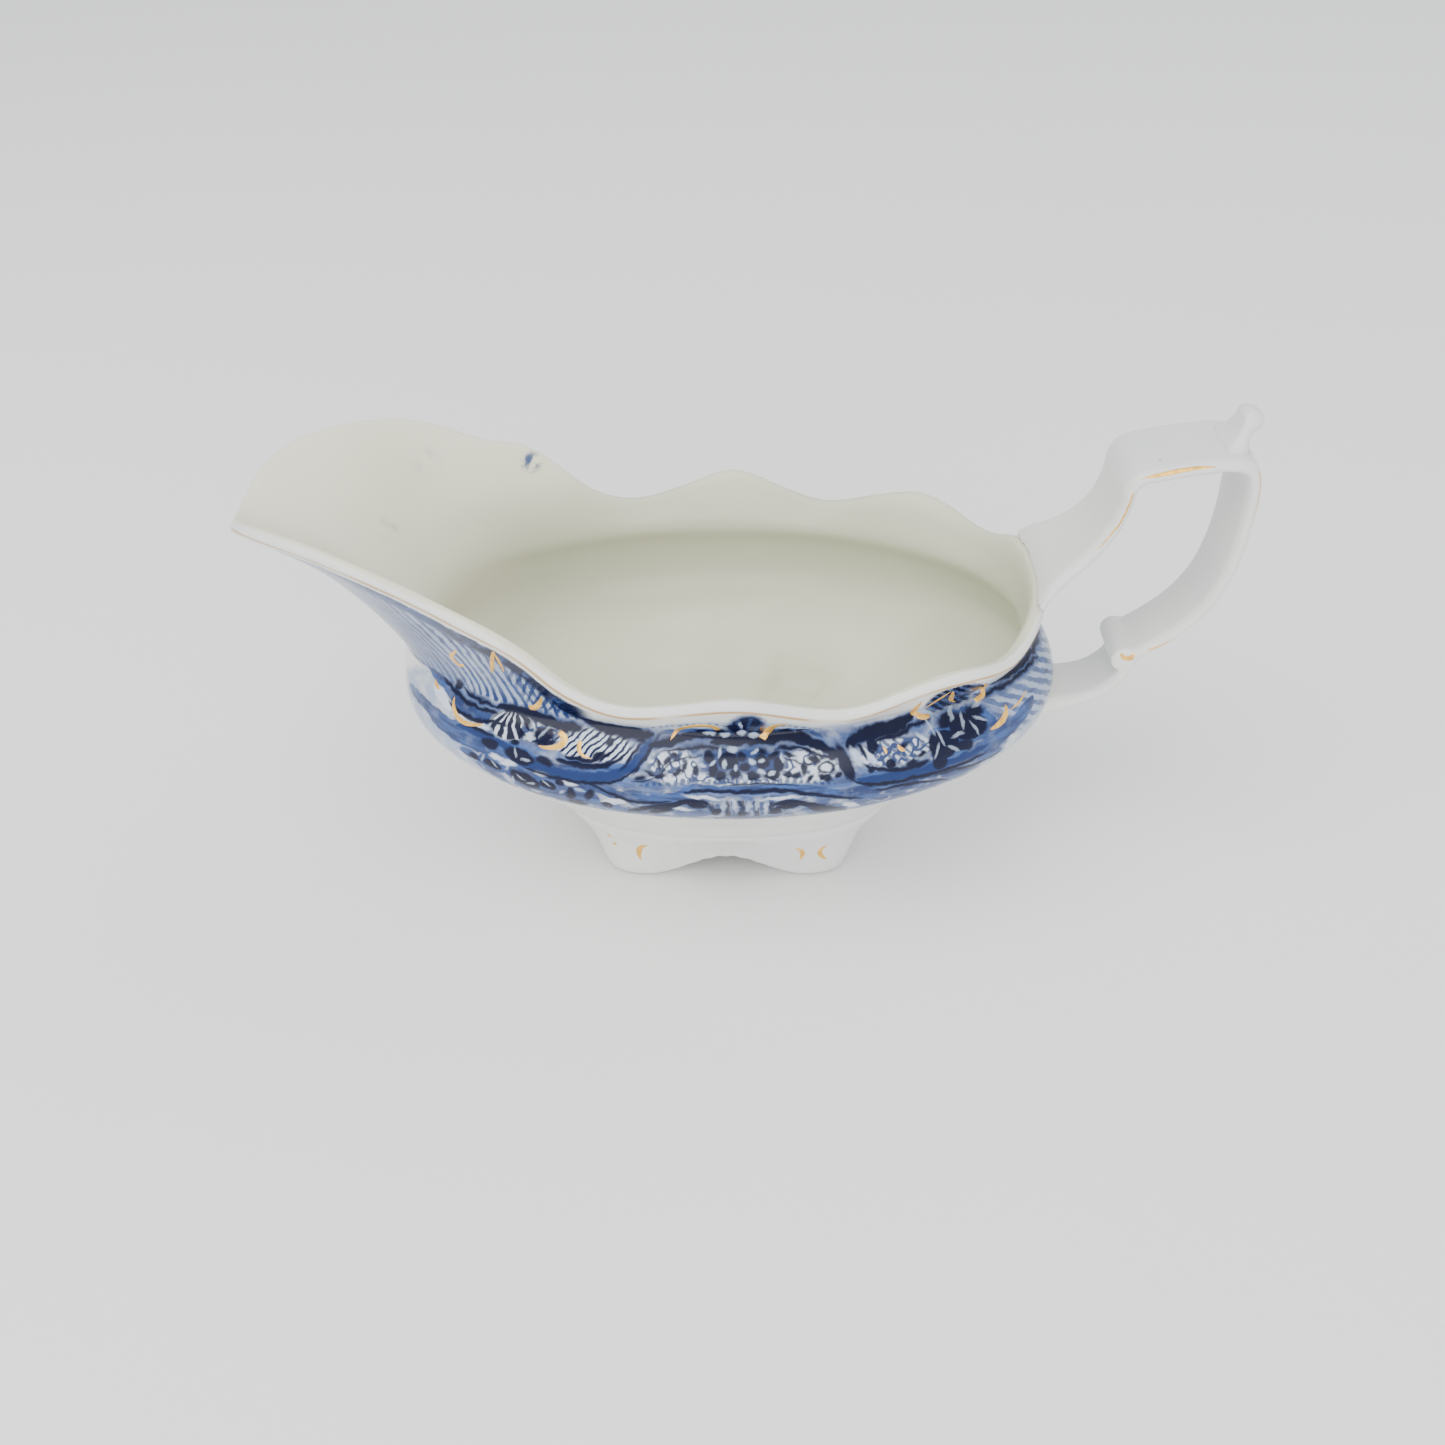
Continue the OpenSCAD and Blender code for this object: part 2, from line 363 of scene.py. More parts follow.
@dataclass(frozen=True)
class Gilding:
    """Fired gold, bright where it is thick and thin where hands have rubbed it."""

    name: str = "fired_gold"
    bright: Colour = (0.95, 0.57, 0.12)
    dull: Colour = (0.74, 0.40, 0.08)
    rub_grain: float = 700.0
    brush_grain: float = 1600.0

    def make(self) -> bpy.types.Material:
        """The material of the raised gold strokes.

        Returns:
            The material.
        """
        bench = Bench(self.name)
        tone = bench.noise(self.rub_grain, 3.0)
        grain = bench.noise(self.brush_grain)
        brushed = bench.node(
            "ShaderNodeBump", {}, {"Strength": 0.25, "Distance": 0.0002, "Height": grain}
        )
        return bench.finish(
            {
                "Base Color": bench.mix(tone.fade(0.35, 0.65), self.dull, self.bright),
                "Metallic": tone.fade(0.1, 0.5, 0.55),
                "Roughness": 0.26 + 0.2 * tone,
                "Normal": brushed,
            }
        )


def painted_glaze(ware: Porcelain) -> bpy.types.Material:
    """The outside of the bowl, with its painted border.

    Args:
        ware: The porcelain under the painting.

    Returns:
        The material.
    """
    bench = Bench("cobalt_border")
    return bench.finish(ware.surface(bench, lambda bare: CobaltBorder(Brush(bench)).paint(bare)))


CREAM_INSIDE = Porcelain(
    "cream_glaze",
    (0.715, 0.70, 0.56),
    (0.65, 0.64, 0.505),
    # painted shade on the inner wall below the rim
    painted_inner_shade=(0.51, 0.53, 0.41),
    smudges=(
        Smudge((-46.3, 35.2, 72.8), 3.2, 0.95),
        Smudge((-74.2, 12.1, 68.8), 3.6, 0.22),
        Smudge((-67.3, 25.8, 77.7), 4.6, 0.16),
        Smudge((-39.0, 36.5, 67.0), 0.8, 0.40),
        Smudge((-80.0, 2.0, 70.0), 1.0, 0.30),
        Smudge((-60.0, 33.0, 80.5), 1.0, 0.30),
    ),
)
WHITE_OUTSIDE = Porcelain("white_glaze", (0.715, 0.72, 0.69), (0.645, 0.67, 0.65))


# ---------------------------------------------------------------- painting


class Ink(Enum):
    """The painter's colours, in the order that they are laid, with how thickly each one covers."""

    WASH = ((0.17, 0.255, 0.46), 0.74)
    COBALT = ((0.013, 0.044, 0.185), 0.95)
    RESERVE = ((0.60, 0.67, 0.76), 0.86)
    INDIGO = ((0.007, 0.024, 0.110), 0.94)
    NAVY = ((0.0012, 0.0025, 0.020), 0.98)
    SPARK = ((0.46, 0.56, 0.72), 0.72)

    @property
    def colour(self) -> Colour:
        """The fired colour."""
        return self.value[0]

    @property
    def strength(self) -> float:
        """How much of what is underneath the ink hides."""
        return self.value[1]


@dataclass(frozen=True)
class Dab:
    """One press of the brush: an oval with its half length and half width, and its turn in degrees."""

    place: Place
    size: Place
    turn: float = 0.0


@dataclass(frozen=True)
class Line:
    """A stroke through points from left to right, with its half width.

    The tail is the share of its width that the stroke starts with.
    """

    points: tuple[Place, ...]
    half: float
    tail: float = 0.0


class Brush:
    """Lays strokes on the wall's chart, in millimetres, and keeps what each ink covers.

    The edge is half the width of a blurred edge, the wobble is how far a line strays, and the taper
    is the share of a stroke that narrows at each end. Broad is the half width past which a navy dab
    bleeds, and bleeding is how strongly navy does so.
    """

    edge = 0.26
    wobble = 1.25
    wobble_grain = 480.0
    taper = 0.14
    broad = 0.75
    bleeding = 0.85

    def __init__(self, bench: Bench) -> None:
        """Reads the chart and lets it wobble a little, as a hand does.

        Args:
            bench: The material's bench.
        """
        self.bench = bench
        chart = bench.node(
            "ShaderNodeAttribute",
            {"attribute_type": "GEOMETRY", "attribute_name": PAINTING},
            {},
            output="Vector",
        )
        shake = bench.node(
            "ShaderNodeTexNoise",
            {},
            {"Vector": bench.place, "Scale": self.wobble_grain, "Detail": 2.0},
            output="Color",
        )
        centred = self._vector("SUBTRACT", shake, (0.5, 0.5, 0.5))
        moved = self._vector("SCALE", centred, Scale=self.wobble)
        shaken = self._vector("ADD", chart, moved)
        self.chart = chart
        self.along, self.height, self.depth = (
            bench.node("ShaderNodeSeparateXYZ", {}, {"Vector": shaken}, output=axis) for axis in "XYZ"
        )
        flat = {"X": self.along, "Y": self.height, "Z": 1.0}
        self.canvas = bench.node("ShaderNodeCombineXYZ", {}, flat)
        self.laid: dict[Ink, Signal] = {}

    def _vector(self, operation: str, *values: Any, output: int = 0, **named: Any) -> Signal:
        """Adds one Vector Math node."""
        inputs = {**dict(enumerate(values)), **named}
        return self.bench.node("ShaderNodeVectorMath", {"operation": operation}, inputs, output)

    def lay(self, ink: Ink, mask: Signal) -> None:
        """Adds a mask to what an ink covers.

        Args:
            ink: The ink.
            mask: Where it goes, from 0 to 1.
        """
        self.laid[ink] = self.laid[ink].over(mask) if ink in self.laid else mask

    def _local(self, dab: Dab) -> tuple[Signal, Signal]:
        """The canvas as seen from a dab, whose own oval is the unit circle.

        Args:
            dab: The dab.

        Returns:
            The distances along the dab and across it.
        """
        (along, height), (long, wide) = dab.place, dab.size
        c, s = math.cos(math.radians(dab.turn)), math.sin(math.radians(dab.turn))
        lengthwise = (c / long, s / long, -(c * along + s * height) / long)
        crosswise = (-s / wide, c / wide, (s * along - c * height) / wide)
        x = self._vector("DOT_PRODUCT", self.canvas, lengthwise, output=1)
        y = self._vector("DOT_PRODUCT", self.canvas, crosswise, output=1)
        return x, y

    def reach(self, dab: Dab) -> Signal:
        """The square of how far a place is from a dab's middle, where 1 is its outline.

        Args:
            dab: The dab.

        Returns:
            The squared distance.
        """
        if dab.turn:
            x, y = self._local(dab)
            return x.square_plus(y * y)
        (along, height), (long, wide) = dab.place, dab.size
        scale = (1 / long, 1 / wide, 0.0)
        shift = (-along / long, -height / wide, 0.0)
        moved = self._vector("MULTIPLY_ADD", self.canvas, scale, shift)
        return self._vector("DOT_PRODUCT", moved, moved, output=1)

    def oval(self, dab: Dab, soft: float | None = None) -> Signal:
        """The mask of one dab.

        Args:
            dab: The dab.
            soft: Half the width of its blurred edge in millimetres.

        Returns:
            The mask.
        """
        return self._filled(self.reach(dab), (soft or self.edge) / min(dab.size))

    @staticmethod
    def _filled(reach: Signal, blur: float) -> Signal:
        """The mask inside an outline, whose edge is blurred by a share of its size."""
        return reach.fade((1.0 + blur) ** 2, max(1.0 - blur, 0.0) ** 2)

    def dabs(self, ink: Ink, *dabs: Dab) -> None:
        """Lays several dabs. Broad navy ones bleed a little into the glaze.

        Args:
            ink: Their ink.
            dabs: The dabs.
        """
        for dab in dabs:
            blur = self.edge / min(dab.size)
            reach = self.reach(dab)
            self.lay(ink, self._filled(reach, blur))
            if ink is Ink.NAVY and min(dab.size) > self.broad:
                self.lay(Ink.COBALT, reach.fade((1.0 + 3.2 * blur) ** 2, 1.0 + blur, self.bleeding))

    def sparks(self, size: Place, spin: float, *places: Place) -> None:
        """Lays thin pale dabs, each turned another way.

        Args:
            size: Their half length and half width.
            spin: Degrees of turn for each millimetre along the wall.
            places: Where they go.
        """
        for place in places:
            self.lay(Ink.SPARK, self.oval(Dab(place, size, spin * place[0]), 0.22) * 0.7)

    def ring(self, dab: Dab, width: float) -> Signal:
        """The mask of a ring along a dab's outline.

        Args:
            dab: The dab.
            width: The ring's half width, as a share of the dab's size.

        Returns:
            The mask.
        """
        blur = self.edge / min(dab.size)
        return abs(self.reach(dab).root() - 1.0).fade(width + blur, max(width - blur, 0.0))

    def stroke(self, line: Line, soft: float | None = None, bleed: bool = False) -> Signal:
        """The mask of a long stroke with tapered ends.

        Args:
            line: The stroke.
            soft: Half the width of its blurred edge in millimetres.
            bleed: Whether a paler edge flows out of it.

        Returns:
            The mask.
        """
        blur = soft or self.edge
        start, end = line.points[0][0], line.points[-1][0]
        heights = [height for _, height in line.points]
        low, high = min(heights), max(heights) + 0.01
        share = (self.along - start) / (end - start)
        curve = [
            ((along - start) / (end - start), (height - low) / (high - low))
            for along, height in line.points
        ]
        middle = self.bench.node("ShaderNodeFloatCurve", {"curve": curve}, {"Value": share})
        full = [(0.0, 0.0), (self.taper, 1.0), (1.0 - self.taper, 1.0), (1.0, 0.0)]
        if line.tail:
            full.insert(1, (0.02, line.tail))
        width = self.bench.node("ShaderNodeFloatCurve", {"curve": full}, {"Value": share})
        away = abs(self.height - (middle * (high - low) + low))
        inside = width * (line.half + blur) - away
        if bleed:
            self.lay(Ink.COBALT, inside.fade(-2.4 * blur, 0.6 * blur, self.bleeding))
        return inside.fade(0.0, 2.0 * blur)

    def strokes(self, ink: Ink, *lines: Line) -> None:
        """Lays several long strokes."""
        for line in lines:
            self.lay(ink, self.stroke(line, bleed=ink is Ink.NAVY))

    def ribs(self, hub: Dab, count: float, share: float = 0.5) -> Signal:
        """Lines that fan out of a hub.

        Args:
            hub: The hub, whose size stretches the fan.
            count: Lines in half a turn.
            share: How much of the fan is line.

        Returns:
            The mask of the lines, not yet kept inside anything.
        """
        x, y = self._local(hub)
        bearing = self.bench.node("ShaderNodeMath", {"operation": "ARCTAN2"}, {0: y, 1: x})
        return self._banded((bearing * (2 * count)).sine(), share)

    @staticmethod
    def _banded(wave: Signal, share: float) -> Signal:
        """The mask of a sine wave's crests, where share is how much of the wave they cover."""
        return wave.fade(0.6 - 2.0 * share, 1.4 - 2.0 * share)

    def bars(self, pitch: float, lean: float, share: float = 0.5) -> Signal:
        """Even strokes across the wall.

        Args:
            pitch: Their spacing in millimetres.
            lean: How far they lean for each millimetre of height.
            share: How much of the space they cover.

        Returns:
            The mask of the strokes, not yet kept inside anything.
        """
        wave = ((self.along + lean * self.height) * (2.0 * math.pi / pitch)).sine()
        return self._banded(wave, share)

    def vines(self, pitch: float, width: float) -> Signal:
        """Thin curling lines, as of stems and tendrils.

        Args:
            pitch: About how far apart they are, in millimetres.
            width: Their width, as a share of the pitch.

        Returns:
            The mask of the lines, not yet kept inside anything.
        """
        return abs(self.bench.noise(1.0 / (pitch * MM), 1.0) - 0.5).fade(width, 0.35 * width)

    def blooms(self, pitch: float, size: float) -> Signal:
        """Scattered small dabs.

        Args:
            pitch: About how far apart they are, in millimetres.
            size: Their radius, as a share of the pitch.

        Returns:
            The mask of the dabs, not yet kept inside anything.
        """
        spread = {"Vector": self.bench.place, "Scale": 1.0 / (pitch * MM)}
        cells = self.bench.node("ShaderNodeTexVoronoi", {}, spread)
        return cells.fade(size + 0.1, size - 0.1)

    def beads(self, line: Line, pitch: float) -> Signal:
        """A row of dots along a line."""
        return self.stroke(line).within(self.bars(pitch, 0.0, 0.55))


class CobaltBorder:
    """The flowing blue border round the bowl: a cartouche on each side between two scrolled panels."""

    streak_light: Colour = (0.030, 0.078, 0.25)
    streak_dark: Colour = (0.005, 0.018, 0.095)
    lip_gold: Colour = (0.45, 0.25, 0.075)
    lip_gold_depth = 2.3
    fan_pitch = 2.15
    fan_bow = 0.16
    fan_sway = 7.0
    sweep_pitch = 4.0
    sweep_lean = 1.5

    def __init__(self, brush: Brush) -> None:
        """Sets the brush that paints the border.

        Args:
            brush: The brush.
        """
        self.brush = brush

    def paint(self, bare: Signal) -> Signal:
        """Paints the whole border.

        Args:
            bare: The unpainted colour.

        Returns:
            The painted colour.
        """
        self.ground()
        self.crest()
        self.cartouche()
        self.lower_scrolls()
        self.lip_panel()
        self.lip_blossoms()
        self.lip_fan()
        self.handle_panel()
        self.handle_end()
        bench = self.brush.bench
        flow = bench.noise(300.0, 3.0)
        colour = bare
        for ink in Ink:
            mask = self.brush.laid[ink]
            if ink in (Ink.WASH, Ink.COBALT):
                mask = mask * (0.66 + 0.72 * flow).within(1.0)
            tone = ink.colour
            if ink is Ink.COBALT:
                tone = bench.mix(self._streaks(), self.streak_light, self.streak_dark)
            colour = bench.mix(mask * ink.strength, colour, tone)
        return self.gilded_lip(colour)

    def _streaks(self) -> Signal:
        """Light and dark streaks along the wall, as a loaded brush leaves.

        Returns:
            Where the dark streaks are, from 0 to 1.
        """
        bench = self.brush.bench
        stretched = bench.node(
            "ShaderNodeVectorMath", {"operation": "MULTIPLY"}, {0: bench.place, 1: (0.16, 0.16, 1.0)}
        )
        return bench.noise(950.0, 3.0, stretched).fade(0.32, 0.66)

    def ground(self) -> None:
        """The flow of colour that the whole border lies in."""
        brush = self.brush
        mottle = brush.bench.noise(230.0, 3.0)
        wash = Line(
            ((-82, 47.5), (-60, 47.5), (-45, 46.8), (-20, 46.2), (3, 46.0), (24, 46.2), (45, 46.8),
             (70, 48.6), (92, 49.4)), 8.8, 0.4)
        brush.lay(Ink.WASH, brush.stroke(wash, 1.4).within(mottle.fade(0.28, 0.52) * 0.55 + 0.4))
        flow = Line(
            ((-62, 50.4), (-46, 49.4), (-30, 49.2), (-14, 49.5), (3, 49.8), (20, 49.2), (36, 49.0),
             (48, 49.4), (60, 50.0)), 4.5, 0.2)
        brush.lay(Ink.COBALT, brush.stroke(flow, 0.9).within(mottle.fade(0.36, 0.60) * 0.42 + 0.5))
        low = Line(
            ((-56, 41.8), (-44, 40.8), (-30, 40.4), (-14, 40.2), (2, 39.8), (18, 40.0), (34, 41.4),
             (50, 42.4), (60, 44.0)), 4.0, 0.2)
        brush.lay(Ink.COBALT, brush.stroke(low, 1.2).within(mottle.fade(0.34, 0.50) * 0.58 + 0.36))
        halo = Line(
            ((-18, 54.3), (-12, 56.0), (-6, 57.2), (2, 57.0), (9, 57.0), (14, 56.2), (21, 53.4)), 1.5)
        brush.lay(Ink.WASH, brush.stroke(halo, 0.8) * 0.85)

    def crest(self) -> None:
        """The fan crest over the cartouche, between two arched ribbons."""
        brush = self.brush
        above = brush.height.fade(52.8, 53.8)
        fan = brush.oval(Dab((3.6, 54.2), (3.7, 7.2)))
        lobe = brush.oval(Dab((0.6, 54.6), (1.9, 3.4), 18))
        spokes = brush.ribs(Dab((3.5, 51.0), (1.0, 2.2)), 5, 0.3)
        brush.lay(Ink.NAVY, fan.over(lobe).within(above).within(1.0 - 0.4 * spokes))
        brush.lay(Ink.COBALT, brush.oval(Dab((3.6, 54.4), (4.3, 8.2)), 0.7).within(above))
        brush.strokes(
            Ink.NAVY,
            Line(((-17, 52.5), (-14, 52.9), (-10, 53.8), (-6, 54.3), (-2, 54.0), (2, 53.2)), 0.6),
            Line(((4, 53.2), (8, 53.7), (12, 54.1), (15, 53.5), (18, 52.5), (21, 51.2), (23.8, 49.4)),
                 0.78),
            Line(((-4, 52.9), (1, 53.6), (6, 53.6), (10, 53.0)), 0.62),
            Line(((-14, 51.9), (-9, 52.4), (-4, 52.5), (0, 52.2)), 0.22),
            Line(((9, 52.3), (13, 52.5), (17, 51.4), (21, 49.8)), 0.24),
        )
        brush.strokes(
            Ink.COBALT,
            Line(((-15, 53.9), (-9, 55.2), (-4, 55.5), (0, 54.8)), 0.6),
            Line(((8, 55.4), (12, 55.6), (16, 54.8), (20, 53.2)), 0.55),
        )
        brush.dabs(
            Ink.NAVY,
            Dab((-6.2, 55.0), (1.6, 0.7)), Dab((-2.2, 55.1), (1.3, 0.8), -20),
            Dab((12.0, 54.9), (1.5, 0.8)), Dab((8.6, 55.0), (1.2, 0.8), 20),
            Dab((15.2, 54.4), (0.8, 0.6)),
        )
        brush.dabs(
            Ink.SPARK,
            Dab((2.6, 54.8), (0.75, 0.6)), Dab((0.7, 52.4), (0.8, 0.42)),
            Dab((-0.9, 54.3), (0.7, 0.25)), Dab((5.4, 54.3), (0.8, 0.25)),
            Dab((-4.4, 54.6), (0.8, 0.22)), Dab((2.3, 57.6), (0.25, 0.9), 8),
        )
        fringe = Line(((-18, 55.2), (-12, 56.9), (-6, 58.0), (0, 57.4)), 0.3)
        fringe_right = Line(((7, 57.3), (12, 57.2), (17, 55.6), (23, 53.4)), 0.3)
        brush.lay(Ink.COBALT, brush.beads(fringe, 1.5).over(brush.beads(fringe_right, 1.5)) * 0.7)

    def cartouche(self) -> None:
        """The cartouche: dark blossoms in the middle, between leafy sprigs on a light ground."""
        brush = self.brush
        left = brush.oval(Dab((-11.2, 49.4), (5.0, 2.9)), 0.7)
        light = left.over(brush.oval(Dab((15.8, 49.2), (5.6, 2.9)), 0.7))
        strip = brush.oval(Dab((2.0, 47.6), (17.0, 1.1)), 0.5)
        brush.lay(Ink.RESERVE, light.over(strip))
        sprigs = light.over(strip)
        brush.lay(Ink.INDIGO, sprigs.within(brush.vines(2.3, 0.075)))
        brush.lay(Ink.INDIGO, sprigs.within(brush.blooms(1.7, 0.27)) * 0.9)
        brush.dabs(
            Ink.NAVY,
            Dab((-4.2, 51.3), (1.1, 0.9)), Dab((-3.2, 49.2), (1.0, 1.3), -20),
            Dab((-0.2, 50.7), (2.0, 1.4)), Dab((1.2, 48.5), (1.2, 0.8)), Dab((3.1, 49.7), (1.1, 0.8)),
            Dab((2.4, 51.4), (1.0, 0.6)), Dab((6.6, 50.4), (1.4, 1.2)), Dab((8.4, 48.2), (1.7, 1.0)),
            Dab((4.6, 48.1), (1.4, 0.9)), Dab((9.7, 49.8), (1.1, 1.4), -25),
            Dab((8.9, 51.4), (1.4, 0.6), 20), Dab((-1.7, 48.3), (1.0, 0.8)),
            Dab((6.6, 52.0), (1.0, 0.4)), Dab((-6.6, 49.0), (0.6, 0.8), 20),
            Dab((11.4, 48.0), (0.8, 0.6)),
        )
        brush.lay(Ink.INDIGO, brush.oval(Dab((2.6, 49.9), (8.6, 2.6))) * 0.82)
        for place in (
            (-0.9, 50.3), (4.5, 50.6), (6.4, 50.5), (1.2, 49.6), (8.3, 48.6), (-3.4, 50.3),
            (-5.4, 50.0), (3.0, 47.8), (6.4, 48.9), (-2.0, 51.9), (5.2, 52.0), (10.6, 51.0),
        ):
            petal = Dab(place, (0.55, 0.26), 16.0 * sum(place))
            brush.lay(Ink.SPARK, brush.oval(petal, 0.2))
        brush.strokes(
            Ink.NAVY,
            Line(((-19.5, 45.9), (-16.5, 46.4), (-14.5, 47.3), (-12.8, 48.7), (-11.4, 50.1),
                  (-8.8, 50.9), (-5.2, 51.4)), 0.17, 0.5),
            Line(((10.5, 51.3), (13, 50.3), (15, 49.6), (17, 50.3), (19, 50.4), (21, 49.0)), 0.17, 0.5),
        )
        brush.dabs(
            Ink.NAVY,
            Dab((-12.3, 50.4), (1.1, 0.5), 60), Dab((-11.0, 51.3), (0.9, 0.45), -20),
            Dab((-10.3, 48.5), (1.1, 0.55), 40), Dab((-13.4, 47.7), (1.3, 0.45), 15),
            Dab((-15.4, 48.1), (1.0, 0.35), -25), Dab((-8.9, 49.5), (1.0, 0.4), 65),
            Dab((-17.4, 46.9), (1.0, 0.4), 20), Dab((-14.0, 49.6), (0.9, 0.35), -60),
            Dab((12.9, 47.8), (1.0, 0.5), 20), Dab((14.6, 48.8), (1.2, 0.55), 80),
            Dab((16.9, 50.5), (1.3, 0.65), -15), Dab((18.7, 46.9), (1.4, 0.65), -30),
            Dab((21.2, 47.2), (0.9, 0.6), 30), Dab((15.8, 47.2), (0.8, 0.4), 30),
            Dab((12.2, 51.5), (1.0, 0.35), -25), Dab((20.6, 50.6), (0.9, 0.7), 40),
        )
        brush.lay(Ink.NAVY, brush.ring(Dab((19.1, 48.8), (1.4, 0.95)), 0.18))
        row = Line(
            ((-18, 45.2), (-12, 46.2), (-6, 47.0), (3, 47.1), (10, 47.0), (16, 46.2), (21, 45.2)), 0.4)
        brush.lay(Ink.INDIGO, brush.beads(row, 1.35) * 0.8)

    def lower_scrolls(self) -> None:
        """The ribbons, scrolls and flutes along the lower edge."""
        brush = self.brush
        brush.strokes(
            Ink.COBALT,
            Line(((-9.6, 44.6), (-6, 45.5), (-2, 45.7), (3, 45.5), (9, 45.6), (14, 44.8), (19, 43.4),
                  (24, 41.9), (30, 41.0)), 1.25, 0.7),
            Line(((-30, 45.4), (-24, 43.4), (-19, 42.0), (-15, 42.1), (-11, 43.2), (-7, 44.6)), 1.3, 0.6),
        )
        brush.lay(Ink.RESERVE, brush.oval(Dab((-5.0, 43.4), (2.8, 0.34), -6)))
        brush.lay(Ink.RESERVE, brush.oval(Dab((10.0, 43.0), (2.8, 0.34), 2)))
        brush.strokes(
            Ink.NAVY,
            Line(((-9.2, 44.3), (-5, 44.9), (2, 44.8), (9, 44.9), (14, 44.1), (20, 42.3), (27, 40.4)),
                 0.42, 0.8),
            Line(((-27, 44.4), (-22, 42.4), (-18.5, 41.3), (-15, 41.3), (-11, 42.3)), 0.36, 0.8),
            Line(((-21, 37.0), (-16, 39.6), (-11, 41.0), (-7, 42.3), (-3.5, 41.6)), 0.7),
            Line(((8, 41.0), (11, 41.8), (15, 40.9), (19, 39.2), (25, 36.0)), 0.7),
            Line(((-2, 46.2), (3, 46.5), (9, 46.3), (14, 45.6)), 0.16),
        )
        brush.dabs(
            Ink.NAVY,
            Dab((-6.2, 41.2), (2.2, 0.95), -8), Dab((11.6, 40.6), (2.4, 1.0), 6),
            Dab((-13.8, 38.8), (2.8, 0.9), 22), Dab((18.2, 38.4), (3.0, 1.0), -26),
            Dab((-2.6, 39.2), (1.1, 1.4)), Dab((9.2, 38.9), (1.2, 1.3)), Dab((2.6, 38.3), (1.0, 1.2)),
        )
        shell = brush.oval(Dab((2.8, 39.9), (8.4, 2.9)), 0.5)
        brush.lay(Ink.COBALT, shell.within(brush.bars(1.45, 0.1, 0.6) * 0.5 + 0.45))
        brush.lay(Ink.NAVY, shell.within(brush.bars(2.9, 0.1, 0.3)) * 0.85)
        for place in ((-1.0, 41.2), (0.9, 41.6), (3.6, 40.8), (5.4, 41.2), (7.2, 40.6)):
            brush.lay(Ink.SPARK, brush.oval(Dab(place, (0.36, 1.3))) * 0.8)
        brush.dabs(
            Ink.COBALT,
            Dab((-15.5, 38.6), (4.8, 1.7), 22), Dab((20.0, 38.4), (5.0, 1.8), -26),
            Dab((-24.0, 43.4), (3.6, 1.6), -24), Dab((27.0, 42.6), (3.6, 1.4), -14),
        )
        brush.dabs(
            Ink.RESERVE,
            Dab((-22.6, 40.4), (2.6, 1.0), 14), Dab((-9.4, 40.0), (1.6, 0.5), -10),
            Dab((24.6, 38.6), (2.2, 0.7), -30),
        )

    def lip_panel(self) -> None:
        """The scrolled panel towards the lip: ribbon, ladder and shell."""
        brush = self.brush
        brush.strokes(
            Ink.COBALT,
            Line(((-68, 46.6), (-58, 46.2), (-50, 46.4), (-43, 46.0), (-36, 45.5), (-29, 45.8),
                  (-23.5, 46.9), (-20, 48.8), (-18, 51.0), (-16.2, 53.8)), 1.75, 0.3),
            Line(((-70, 55.2), (-64, 54.0), (-60, 52.6), (-57, 51.5), (-53, 51.3), (-49, 52.0)), 1.2),
            Line(((-78, 47.0), (-68, 47.6), (-60, 47.4), (-54, 48.0), (-47, 48.4)), 1.2),
        )
        brush.dabs(Ink.COBALT, Dab((-18.2, 50.2), (3.8, 1.7), 56))
        brush.dabs(Ink.INDIGO, Dab((-17.9, 50.4), (3.4, 1.1), 58))
        brush.dabs(Ink.NAVY, Dab((-16.8, 50.8), (2.9, 0.3), 60), Dab((-19.4, 50.9), (2.4, 0.26), 58))
        brush.strokes(
            Ink.INDIGO,
            Line(((-44, 46.2), (-36, 45.6), (-29, 45.6), (-23.5, 46.7), (-20, 48.4), (-18, 50.6),
                  (-16.6, 53.2)), 0.95),
            Line(((-58, 48.2), (-53, 48.6), (-47, 48.2), (-42, 47.6)), 0.7),
        )
        brush.strokes(
            Ink.NAVY,
            Line(((-42, 44.9), (-33, 44.2), (-27, 44.5), (-22, 45.9), (-18.4, 48.6), (-16.2, 52.2)),
                 0.34, 0.3),
            Line(((-35, 48.3), (-29, 47.9), (-25, 48.4), (-22.2, 49.8), (-20.6, 51.4), (-20.0, 53.0)),
                 0.5, 0.2),
            Line(((-33, 49.2), (-28, 49.1), (-25.2, 49.9), (-23.4, 51.2), (-22.7, 52.6)), 0.42, 0.2),
            Line(((-37, 57.8), (-32, 55.6), (-28, 54.5), (-22, 54.0), (-16, 53.8)), 0.72, 0.6),
            Line(((-51, 53.7), (-46, 54.3), (-41, 54.1), (-36, 53.6), (-31, 53.4)), 0.72, 0.8),
            Line(((-66, 55.2), (-59, 53.5), (-54, 52.8), (-49, 53.0)), 0.34),
            Line(((-60, 55.3), (-55, 54.0), (-50, 53.8)), 0.28),
            Line(((-62, 52.0), (-58, 50.9), (-54, 50.7), (-50, 51.6), (-46, 51.8)), 0.38),
            Line(((-57, 48.9), (-53, 49.3), (-48, 48.8)), 0.3),
        )
        ladder = brush.oval(Dab((-27.6, 51.4), (8.4, 2.4)), 0.4)
        brush.lay(Ink.RESERVE, ladder)
        brush.lay(Ink.INDIGO, ladder.within(brush.bars(1.5, -0.85, 0.42)))
        brush.lay(Ink.NAVY, ladder.within(brush.bars(1.5, -0.85, 0.2)) * 0.9)
